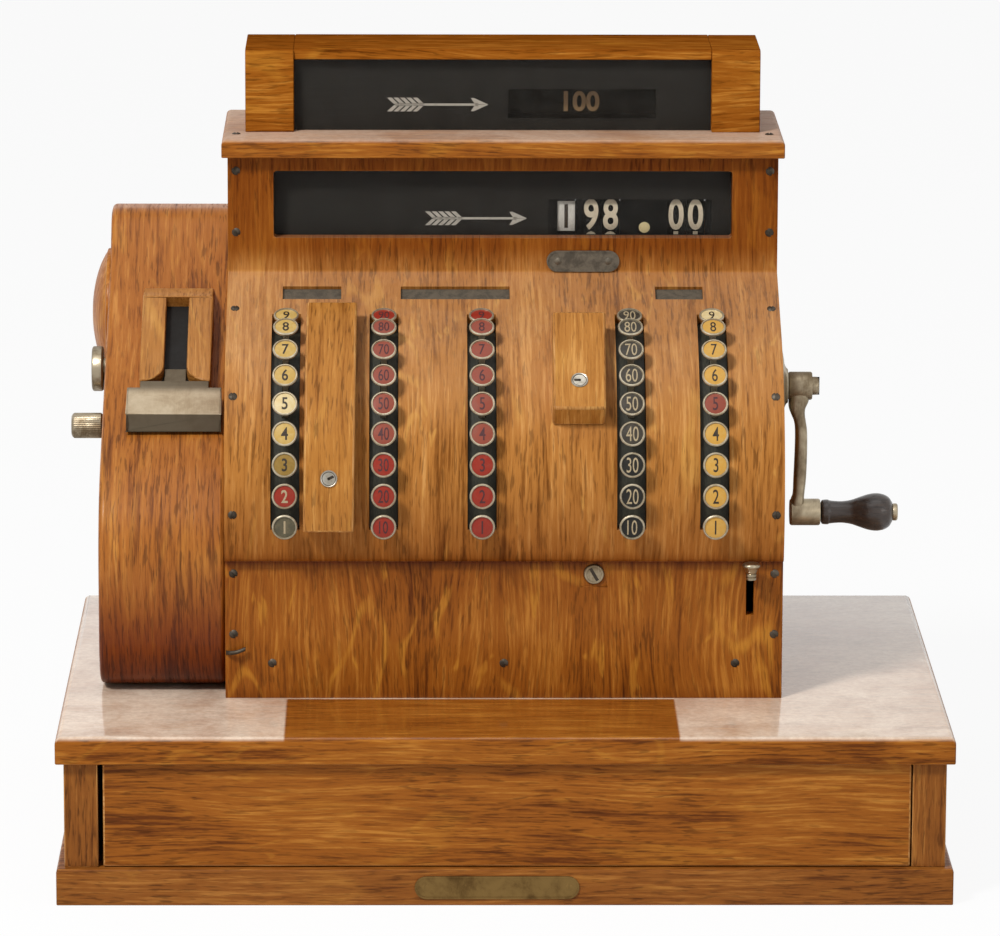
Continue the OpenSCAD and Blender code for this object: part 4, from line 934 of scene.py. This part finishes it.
def arrow(length, tall=9.8):
    """Flat arrow that points right: five slanting feathers each side of a shaft, and a barbed
    head. Worked out as thin four-sided strips in the XY plane."""
    half, shaft = tall / 2, 0.8
    upper = []
    for x in length * (0.02 + 0.062 * np.arange(5)):
        w = length * 0.045
        upper.append([(x, half), (x + w, half), (x + w + half, 0.3), (x + half, 0.3)])
    upper.append([(length * 0.83, half * 0.95), (length * 0.86, half * 0.95), (length, 0),
                  (length * 0.87, 0.2)])
    strips = [[(0.10 * length, -shaft), (length * 0.9, -shaft), (length * 0.9, shaft),
               (0.10 * length, shaft)]]
    for quad in upper:
        strips += [[(x, -y) for x, y in quad], quad[::-1]]
    points = np.array(strips, float).reshape(-1, 2) - (length / 2, 0)
    return stacked(*points.T, 0), np.arange(len(points)).reshape(-1, 4).tolist()


def on_wheel(x, angle, radius):
    """Points on a number wheel, at an angle in radians over the level."""
    return stacked(x, WHEEL_Y - radius * np.cos(angle), WHEEL_Z + radius * np.sin(angle))


def bent_on_wheel(part, x, degrees, radius):
    """Wraps a flat number on a wheel about X: its height becomes an angle round the axle."""
    points, faces = part
    angle = np.radians(degrees) + points[:, 1] / radius
    return on_wheel(points[:, 0] + x, angle, radius), faces


def wheel_strip(x0, x1, radius, reach):
    """Strip of a wheel's face between two values of X, reach degrees up and down."""
    a = np.radians(np.linspace(-reach, reach, 9))
    rows = [on_wheel(x, a, radius) for x in (x0, x1)]
    return np.stack(rows, 1).reshape(-1, 3), grid_faces(9, 2)


def build_display(amount_mask_y=32.0, sign_mask_y=52.0, paint=0.05):
    """Arrows painted on the masks, dividers and a dot between the wheels, and all the numbers."""
    for name, length, x, y, z in (("amount_arrow", 73, -19.4, amount_mask_y, 431.5),
                                  ("sign_arrow", 72.7, -46.3, sign_mask_y, 509)):
        new_piece(name, set_in(arrow(length), (x, y - paint, z), **FRONT), "arrow grey",
                  merge=False)
    gaps = [(30, 37.9), (51.1, 55.7), (82.4, 115.4), (142.1, 149)]
    front, back, low, high = 33.2, 33.9, 416, 449
    strips = [box((a, front, low), (b, back, high)) for a, b in gaps]
    new_piece("wheel_dividers", joined(*strips), "wheel black")
    dot = lathe([(0, 0.4), (2.4, 0.3), (3.8, 0.1), (3.9, 0)], 32)
    new_piece("wheel_dot", set_in(dot, (99.6, 33.19, 424.9), **FRONT), "dot paint")
    count, tilt, bare = 11, 1.6, WHEEL_R + 0.06
    shapes = [numeral(str(n), 22.4, 0.74, 0.024, 10) for n in range(10)]
    shown = {62.2: 9, 75.9: 8, 121.9: 0, 135.6: 0}
    digits = [bent_on_wheel(shapes[(first + k) % 10], x, tilt - 360 / count * k, bare)
              for x, first in shown.items() for k in range(count)]
    tab = wheel_strip(38.6, 50.8, WHEEL_R + 0.05, 15)
    one = bent_on_wheel(numeral("1", 17, 0.8, 0.02, 10), 44.7, 0, WHEEL_R + 0.12)
    for name, part, finish in (("wheel_numbers", joined(*digits), "cream paint"),
                               ("white_tab", tab, "tab white"), ("tab_number", one, "dark ink and painted hole shade")):
        new_piece(name, part, finish, body="amount_wheels", merge=False)
    signs = []
    for k in (1, 2, 3):
        place = dict(facing(120 * (k - 1)), origin=(55.8, SIGN_Y, SIGN_Z))
        place = moved(place, out=SIGN_R * math.cos(math.pi / 6) + 0.05)
        signs.append(set_in(numeral("%d00" % k, 14.5, 1.0, 0.03), **place))
    new_piece("sign_numbers", joined(*signs), "bronze ink", body="sign_wheel",
              merge=False)


# Keys

def on_dome(x, y, disc_r=7.3, disc_h=0.55):
    """Height of a key's disc: h (1 - r^2 / R^2)."""
    return disc_h * (1 - (x * x + y * y) / disc_r ** 2)


def build_keys(first=-3.2, pitch=8.95, tall=13.0, last_tall=7.0):
    """Discs and their numbers, one column after another from its lowest key up. The keys stand
    the same angle apart and tall over the round, but the last of a column is lower."""
    ones, tens = range(1, 10), range(10, 100, 10)
    red, rose, cream, yellow = "red enamel", "faded red enamel", "cream enamel", "yellow enamel"
    dark, engraved = "dark ink and painted hole shade", "engraved red"
    reds = [red] * 3 + [rose] * 5 + [red]
    columns = [
        ("register", ones, (9.0, 0.78, 0.016), ["light ink"] * 2 + [dark] * 7,
         ["grey enamel", red, "olive enamel", cream, "ivory enamel"] + [cream] * 4),
        ("register", tens, (9.0, 0.62, 0.006), [engraved] * 9, reds),
        ("red_key_%d", ones, (9.2, 0.70, 0.006), [engraved] * 9, reds),
        ("black_key_%d", tens, (10.4, 0.60, 0.0), ["light ink"] * 9,
         ["black enamel"] * 3 + ["worn black enamel"] * 6),
        ("yellow_key_%d", ones, (9.8, 0.66, 0.006), [dark] * 4 + [engraved] + [dark] * 4,
         [yellow] * 4 + [rose] + [yellow] * 3 + ["ivory enamel"])]
    r = np.linspace(0, 7.3, 6)
    disc = lathe(stacked(r, on_dome(r, 0)), 40)
    for c, (body, numbers, size, inks, enamels) in enumerate(columns):
        for i, number in enumerate(numbers):
            radius = ROUND_R + (last_tall if i == 8 else tall)
            place = at_round(COLUMNS[c], first + i * pitch, radius)
            rides = body % number if "%" in body else body
            name = "column_%d_%d" % (c + 1, number)
            new_piece("disc_" + name, set_in(disc, **place), enamels[i], body=rides)
            points, faces = numeral(str(number), *size, 4)
            points[:, 2] = on_dome(*points[:, :2].T) + 0.07
            new_piece("number_" + name, set_in((points, faces), **place), inks[i],
                      body=rides, merge=False)


# Counter covers and their locks

def add_lock(name, place, lean, body, r=5.9, sides=16):
    """Lock's face: a raised ring round a disc, with the keyhole as a flat dark wedge of painted shade
    on it that points lean degrees round from the right, and a dark ring of painted shade over the
    groove inside the ring."""
    ring = lathe([(0, 0.5), (r - 1.5, 0.5), (r - 1.4, 0.1), (r - 1.1, 0.1), (r - 1.0, 0.9),
                  (r - 0.4, 1.1), (r, 0.6), (r, -0.6), (0, -0.6)], 40)
    groove = lathe([(r - 1.5, 0.52), (r - 0.95, 0.52)], 40)
    a = round_angles(sides)
    hole = stacked(np.cos(a), np.sin(a), 0), [list(range(sides))]
    wedge = [(-0.6, 0.9, 0), (-0.6, -0.9, 0), (4.0, -0.9, 0), (3.4, 0.9, 0)], [[0, 1, 2, 3]]
    x, y = heading(lean)
    hole = set_in(joined(hole, wedge), (0, 0, 0.6), (x, y, 0), (-y, x, 0))
    new_piece(name + "_lock", set_in(ring, **place), "lock nickel", body=body)
    new_piece(name + "_keyhole", set_in(joined(hole, groove), **place), "dark ink and painted hole shade",
              body=body, merge=False)


def add_cover(name, x, width, outline, foot, body, slant=0.012):
    """Cover of one side view, sheared sideways a little: x grows by slant for each millimetre over
    its foot."""
    points, faces = prism(outline, x - width / 2, x + width / 2)
    points[:, 0] += slant * (points[:, 2] - foot)
    new_piece(name + "_shell", (points, faces), "counter cover oak", name, body,
              outline=outline, edge=1.6, rubbed=True, segments=3)


def build_covers():
    """The long cover follows the round between two circles; the short one has a flat face."""
    a0, a1, r0, r1 = -4.5, 70.0, ROUND_R + 0.3, ROUND_R + 16.0
    inner = on_round(np.linspace(a0, TANGENT, 36), r0)
    end = inner[-1] + SLOPE_WAY * (r0 * math.tan(math.radians(a1 - TANGENT)))
    outline = np.vstack([on_round(np.linspace(a0, a1, 40), r1), [end], inner[::-1]])
    add_cover("long_cover", -120, 35, outline, 300, "counter_lid_long")
    add_lock("long_cover", at_round(-120.4, 10.8, r1), 28, "counter_lid_long")
    x, length, angle = 51.4, 41.0, 46.8
    face = at_round(x, angle, ROUND_R + 13.4)
    top = [moved(face, up)["origin"][1:] for up in (length, -length)]
    foot = on_round(np.linspace(angle - math.degrees(math.asin(length / r0)), TANGENT, 24), r0)
    up = np.array(face["along"][1:])
    t = (length - np.dot(foot[-1] - (ROUND_Y, ROUND_Z), up)) / np.dot(SLOPE_WAY, up)
    outline = np.vstack([top, foot, [foot[-1] + SLOPE_WAY * t]])
    add_cover("short_cover", x, 36.5, outline, 340, "counter_lid_short")
    add_lock("short_cover", moved(face, -17.5), 180, "counter_lid_short")


# Printer

PRINTER_WAY = heading(PRINTER_SLOPE)


def printer_outline():
    """Side view of the printer: nose, upright front, lobe, slope, steep step, brow, flat top,
    round rear corner, back and flat underside."""
    nose_r, top_r, step_y, rise = 36.0, 22.0, 130.0, 29.5
    front_y, foot_z = LOBE_Y - LOBE_R, LOBE_Z - LOBE_R
    back_y = node_box("printer_housing")[1, DEEP]
    step_z = LOBE_Z + (LOBE_R + (step_y - LOBE_Y) * PRINTER_WAY[1]) / PRINTER_WAY[0]
    steep = heading(55)
    rear_z = step_z + rise - top_r
    brow_y = step_y + (top_r + (rear_z - step_z) * steep[0]) / steep[1]
    return np.vstack([
        [(back_y, foot_z)], arc(front_y + nose_r, foot_z + nose_r, nose_r, 270, 180, 12),
        arc(LOBE_Y, LOBE_Z, LOBE_R, 180, 121, 24), [(step_y, step_z)],
        arc(brow_y, rear_z, top_r, 145, 90, 8), arc(back_y - top_r, rear_z, top_r, 90, 0, 12)])


def chute_part():
    """Wooden block with a paper groove that widens in two curves at its foot: the groove's side is
    x = R + g - R cos a at the height R (1 - sin a) over the foot, with g half the groove."""
    foot, top, back, half, groove, flare = 9.0, 96.0, 98.0, CHUTE_W / 2, 8.0, 15.75
    a = np.linspace(np.pi / 2, 0, 10)
    curve = stacked(groove + flare * (1 - np.cos(a)), foot + flare * (1 - np.sin(a)))
    side = np.vstack([curve, [(groove, top), (half, top), (half, foot)]])
    cheeks = [prism(side * (way, 1), 0, CHUTE_H, UP) for way in (-1, 1)]
    tail = prism([(top, 0), (back + CHUTE_H / math.tan(math.radians(PRINTER_SLOPE)), 0),
                  (back, CHUTE_H), (top, CHUTE_H)], -half, half)
    return joined(*cheeks, tail)


def tray_part(reach=-26.0, half=33, sheet=1.5):
    """Bent tray under the chute: a sheet with an upright lip, a cheek at each side, a block that
    carries it and a tongue in the groove."""
    lip = np.array([reach, CHUTE_H]) - 12.5 * PRINTER_WAY[::-1]
    low = CHUTE_H - sheet
    top = [(sheet, CHUTE_H), (reach, CHUTE_H), lip, lip + (sheet, 0), (reach + sheet, low),
           (sheet, low)]
    cheek = [(0, 0), (0, CHUTE_H), (reach, CHUTE_H), lip, (lip[0] + 2 * lip[1], 0)]
    block, tongue = box((-24, 0, 0), (24, 9, 13.25)), box((-7.7, 8, 5), (7.7, 27, 8))
    return joined(prism(top, -half, half), prism(cheek, -half, sheet - half),
                  prism(cheek, half - sheet, half), block, tongue)


def knurled(r, length, ridges=40):
    """Turned pin with fine ridges: its middle has the radius r - 0.14 (1 - cos(ridges a))."""
    profile = [(0, length), (r - 2.2, length), (r - 0.8, length - 0.8), (r, length - 2),
               (r, 3.2), (r - 1, 2.2), (r * 0.8, 2), (r * 0.8, 0), (0, 0)]
    deep = np.array([0, 0, 0.3, 1, 1, 0.3, 0, 0, 0])[:, None]
    wave = 0.14 * (np.cos(round_angles(ridges * 4) * ridges) - 1)
    return lathe(profile, ridges * 4, deep * wave)


def build_printer():
    outline = printer_outline()
    new_piece("printer_shell", prism(outline, PRINTER_X0, -HALF_W), "printer oak",
              "printer_housing", outline=outline, edge=3.5, segments=4)
    lobe = dict(facing(90 - PRINTER_SLOPE), origin=(CHUTE_X, LOBE_Y, LOBE_Z))
    place = moved(lobe, 59.5, LOBE_R)
    new_piece("chute_block", set_in(chute_part(), **place), "chute oak",
              "receipt_chute", grain=DEEP, edge=0.8, rubbed=True)
    # The groove's near-black floor is painted shade of the deep paper groove.
    new_piece("groove_floor", set_in(box((-23.9, 9.2, 0.2), (23.9, 96, 5)), **place),
              "painted recess shade")
    new_piece("tray_sheet", set_in(tray_part(), **place), "tray nickel", "receipt_tray",
              edge=0.5)
    bulge = through([(0, 14), (12, 13.4), (24, 11.3), (34, 8.2), (41, 4.9), (43.6, 3.2)])
    lid = lathe(np.vstack([bulge, [(44.6, 3.0), (45.6, 2.6), (46, 1.8), (46, 0), (0, 0)]]), 96)
    knob = lathe([(0, 8.6), (6, 8.8), (9.6, 9), (10.6, 10), (14.4, 10), (15.6, 9.4), (16, 8.4),
                  (16, 3.2), (15, 2), (8, 1.6), (8, 0), (0, 0)], 64)
    for name, part, gap, finish, slot, node, body in (
            ("roll_lid", lid, 0, "roll cover oak", "oak_printer", "roll_cover", "register"),
            ("feed_knob", knob, 0.3, "knob nickel", "nickel", "printer_knob", "paper_knob"),
            ("date_knob", knurled(9, 24), 0.3, "knob nickel", "nickel", "setting_pin", "date_pin")):
        centre = (PRINTER_X0 - gap, *node_middle(node)[1:])
        new_piece(name, set_in(part, centre, **LEFT), finish, node, body)


# Crank

def crank_spine():
    """The arm's rings: at each height a rounded rectangle between its left and right edges, which
    follows cos a and sin a to the power 0.6. Each row of the spine has the height, both edges and
    half the depth."""
    spine = through([(308, 203.0, 217.5, 8.6), (300, 203.0, 217.2, 8.4), (294.5, 203.2, 215.0, 8.0),
                     (290, 204.8, 214.6, 7.4), (284.5, 207.0, 215.4, 6.8), (277, 207.9, 216.4, 6.6),
                     (262, 207.8, 216.6, 6.4), (244, 207.2, 216.1, 6.4), (232, 206.8, 215.0, 6.8),
                     (227, 205.4, 214.8, 7.4), (219, 204.9, 214.8, 7.5)])
    z, left, right, deep = (column[:, None] for column in spine.T)
    a = round_angles(32)
    x, y = (np.sign(c) * np.abs(c) ** 0.6 for c in (np.cos(a), np.sin(a)))
    return tube(stacked((left + right) / 2 + (right - left) / 2 * x, CRANK_Y + deep * y, z))


def build_crank():
    def placed(part, x, z=CRANK_Z):
        return set_in(part, (x, CRANK_Y, z), **RIGHT)

    rim = through([(26, 3.8), (25.0, 5.6), (20.5, 6.6), (16, 7.3), (13, 8.5)], 4)
    flange = lathe(np.vstack([[(0, 0), (26, 0)], rim, [(12, 9.7), (0, 9.7)]]), 64)
    new_piece("crank_plate", placed(flange, HALF_W), "old nickel", "crank_flange")
    hub_x = node_box("crank_flange")[1, ACROSS] + 0.3
    boss_x, pin_x, grip_x = hub_x + 2, hub_x + 23.2, hub_x + 24
    hub = lathe([(0, 0), (9.4, 0), (10, 0.8), (10, 15.6), (9.4, 16.6), (6.5, 16.7), (6.4, 20.0),
                 (5.6, 21.2), (3, 21.6), (0, 21.7)], 56)
    boss = lathe([(0, 0), (8.6, 0), (9.5, 1), (9.5, 20.4), (8.8, 21.5), (6, 21.7), (0, 21.7)])
    pin = lathe([(0, 0), (3.5, 0), (3.5, 51.9), (5.9, 52.0), (6.1, 52.6), (6.1, 54.6), (5.4, 55.4),
                 (0, 55.6)], 32)
    casting = joined(placed(hub, hub_x), placed(boss, boss_x, HANDLE_Z),
                     placed(pin, pin_x, HANDLE_Z), crank_spine())
    new_piece("crank_casting", casting, "old nickel", "crank_arm", "crank", sharp=40)
    # The hub's slot is a near-black bar: painted shade of its depth.
    slot = box((-0.7, -6.3, 20.2), (0.7, 6.3, 21.9))
    new_piece("hub_slot", placed(slot, hub_x), "painted recess shade", body="crank")
    r, length = 13.4, 51.0
    shares = [(0.50, 0.0), (0.62, 0.015), (0.655, 0.05), (0.655, 0.10), (0.615, 0.125),
              (0.585, 0.20), (0.575, 0.30), (0.64, 0.42), (0.78, 0.53), (0.91, 0.63),
              (0.985, 0.72), (0.995, 0.80), (0.93, 0.88), (0.78, 0.95), (0.50, 0.998)]
    grip = through(np.array(shares) * (r, length))
    grip = lathe(np.vstack([[(3.6, 0)], grip, [(3.6, length), (3.6, 0)]]), 56)
    new_piece("turned_handle", placed(grip, grip_x, HANDLE_Z), "handle wood",
              "crank_handle", "crank_grip", sharp=50)


# Screws, plates and the panel's fittings

# Axes of a screw head on an upright front, with its slot turned aside.
TURNED = dict(across=(0.8, 0, 0.6), along=(-0.6, 0, 0.8), out=(0, -1, 0))


def round_plate(x, z, w, h):
    """Front view of a plate with round ends, middle at (x, z)."""
    half, r = w / 2 - h / 2, h / 2
    return np.vstack([arc(x + half, z, r, -90, 90, 14), arc(x - half, z, r, 90, 270, 14)])


def plate_rim(x, z, w, h, wide, front, back):
    """Raised border along a plate's edge: four rings of points, the outer outline at the back and
    front, then the inner one at the front and back."""
    rings = [(0, back), (0, front), (2 * wide, front), (2 * wide, back)]
    points = [np.insert(round_plate(x, z, w - d, h - d), 1, y, axis=1) for d, y in rings]
    return np.concatenate(points), grid_faces(4, 28, True)


def lever(head_r=6.1):
    """Flat arm with a turned head like a small goblet."""
    x, y, z = node_box("release_lever")[0] + (head_r, head_r, 0)
    goblet = through([(3.7, 5.2), (4.6, 7.4), (5.9, 9.0), (head_r, 10.0), (5.4, 11.2), (3.0, 12.0),
                      (0, 12.2)], 4)
    stem = [(0, 0), (3.5, 0), (3.6, 1.6), (3.2, 1.9), (3.6, 2.4), (3.6, 4.0), (3.2, 4.4)]
    return joined(box((x - 2.2, y + 6, z), (x + 2.2, PANEL_Y + WALL + 1, z + 6)),
                  set_in(lathe(np.vstack([stem, goblet]), 40), (x, y, z)))


def wood_screws():
    """Slotted heads on the panel, the round, the shoulder, the face and the cap."""
    head = domed_slot_head(6.0, 1.2, 0.9, 0.55)
    screws = [set_in(head, (x, PANEL_Y, 143), **TURNED) for x in (-160, 0, 160)]
    for x in (5.8 - HALF_W, HALF_W - 5.8):
        screws += [set_in(head, (x, y, z), **TURNED) for y, z in (
            (PANEL_Y, 163.6), (PANEL_Y, 206.5), (FACE_Y, WINDOW_LOW + 4), (FACE_Y, WINDOW_HIGH))]
        screws += [set_in(head, **at_round(x, a)) for a in (-0.9, 37.3)]
        screws += [set_in(head, **moved(at_round(x, TANGENT), 28.5)),
                   set_in(head, (x, 34, HEAD_TOP + 13))]
    return joined(*screws)


def build_fittings():
    new_piece("wood_screws", wood_screws(), "screw steel", "cabinet_screws")
    lock = lathe([(0, -WALL), (6.9, -WALL), (6.9, 1.2), (6.4, 1.9), (5.2, 2.0), (4.9, 1.6),
                  (0, 1.6)])
    centre = (LOCK_X, PANEL_Y, LOCK_Z)
    new_piece("panel_lock", set_in(lock, centre, **FRONT), "old nickel", "lock_screw",
              "lock")
    # The panel lock's slot is a flat dark bar: painted shade of the keyway.
    slot = set_in(box((-1.1, -5.0, 1.2), (1.1, 5.0, 1.75)), centre, (0.87, 0, 0.5),
                  (-0.5, 0, 0.87), (0, -1, 0))
    new_piece("panel_lock_slot", slot, "dark ink and painted hole shade", body="lock")
    new_piece("lever_arm", lever(), "knob nickel", "release_lever", "lever")
    hook = through([(-192, -101, 150.5), (-189, -104.5, 151), (-184, -106, 152), (-178.5, -105, 154)])
    a = round_angles(12)
    new_piece("side_hook", tube(hook[:, None, :] + stacked(0, 1.5 * np.cos(a), 1.5 * np.sin(a))),
              "screw steel")
    front, middle = node_box("plinth")[0, DEEP], node_box("plinth")[1, UP] / 2
    long_plate = (-5.6, middle, 112, 16)
    plates = [prism(round_plate(*long_plate), front - 0.5, front, DEEP),
              plate_rim(*long_plate, 1.3, front - 0.95, front - 0.3)]
    plates += [set_in(domed_slot_head(5.0, 0.5, 0.9, 0.3), (x, front - 0.45, middle), **FRONT)
               for x in (-54.5, 43.3)]
    new_piece("base_plate", joined(*plates), "old brass", "metal_plates", edge=0.15)
    small_plate = (56.2, 403.7, 51, 14.8)
    grey = [prism(round_plate(*small_plate), FACE_Y - 1.2, FACE_Y, DEEP),
            plate_rim(*small_plate, 1.1, FACE_Y - 1.8, FACE_Y - 0.8)]
    grey += [set_in(domed_slot_head(5.0, 1.0, 0.7, 0.4), (x, FACE_Y - 1.2, 403.7), **TURNED)
             for x in (38.6, 73.8)]
    place = moved(at_round(0, TANGENT), SHOULDER_WINDOW_UP, -3.5)
    half, gap = SHOULDER_WINDOW_L / 2 - 0.1, 0.1
    grey += [set_in(box((a + gap, -half, 0), (b - gap, half, 1)), **place)
             for a, b in SHOULDER_WINDOWS]
    new_piece("grey_plates", joined(*grey), "plate grey", edge=0.3)


def dress_nodes():
    """Finishes of the CAD nodes that stay as they are."""
    plain = {"key_plates": "slot black", "display_mask": "mask black", "coin_till": "till oak",
             "indicator_wheels": "wheel black", "sign_drum": "sign brown",
             "display_glass": "window glass", "clerk_keys": "key rim metal"}
    for name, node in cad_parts.items():
        finish = plain.get(name, "key rim metal" if "_key_" in name else None)
        if finish:
            node.data.materials.clear()
            node.data.materials.append(bpy.data.materials[finish])


build_cabinet()
build_display()
build_keys()
build_covers()
build_printer()
build_crank()
build_fittings()
dress_nodes()


# Floor, backdrop and lights

def stage_share(net):
    """One where the camera, a gloss or glass looks."""
    path = net.put("LightPath").outputs
    seen = net.plus(path["Is Camera Ray"], path["Is Glossy Ray"])
    return net.plus(seen, path["Is Transmission Ray"], clamp=True)


def pale_floor(size=30.0, glow_share=0.92):
    net, shader, end = new_material("pale floor")
    net.give(shader, Base_Color=(0.92, 0.92, 0.92), Roughness=0.9, Specular_IOR_Level=0.0)
    glow = net.put("Emission", Color=(1, 1, 1), Strength=1.0)
    share = net.times(stage_share(net), glow_share)
    net.give(end, Surface=net.fill(net.put("MixShader"), share, shader.outputs[0], glow.outputs[0]))
    mesh = bpy.data.meshes.new("floor")
    mesh.from_pydata([(-size, -size, 0), (size, -size, 0), (size, size, 0), (-size, size, 0)], [],
                     [[0, 1, 2, 3]])
    mesh.materials.append(bpy.data.materials["pale floor"])
    floor = add_object("floor", mesh)


def pale_world():
    """White where the camera, a gloss or glass looks at it, and a softer grey as light."""
    world = bpy.data.worlds.new("pale world")
    bpy.context.scene.world = world
    world.use_nodes = True
    world.node_tree.nodes.clear()
    net = Net(world.node_tree)
    tint = net.mix(stage_share(net), (0.27, 0.27, 0.27), (1, 1, 1))
    back = net.put("Background", Color=tint, Strength=1.0)
    net.put("OutputWorld", Surface=back.outputs[0])


pale_floor()
pale_world()
soft_light("key light", (-1.75, -2.3, 3.1), (0, 0, 0.3), 0.7, 0.7, 122)
soft_light("top light", (0.1, -0.5, 2.8), (0, 0, 0.3), 2.2, 1.6, 10)
soft_light("right light", (2.4, -2.6, 1.4), (0, 0, 0.25), 1.6, 1.6, 14)
bpy.context.scene.view_settings.view_transform = "Standard"
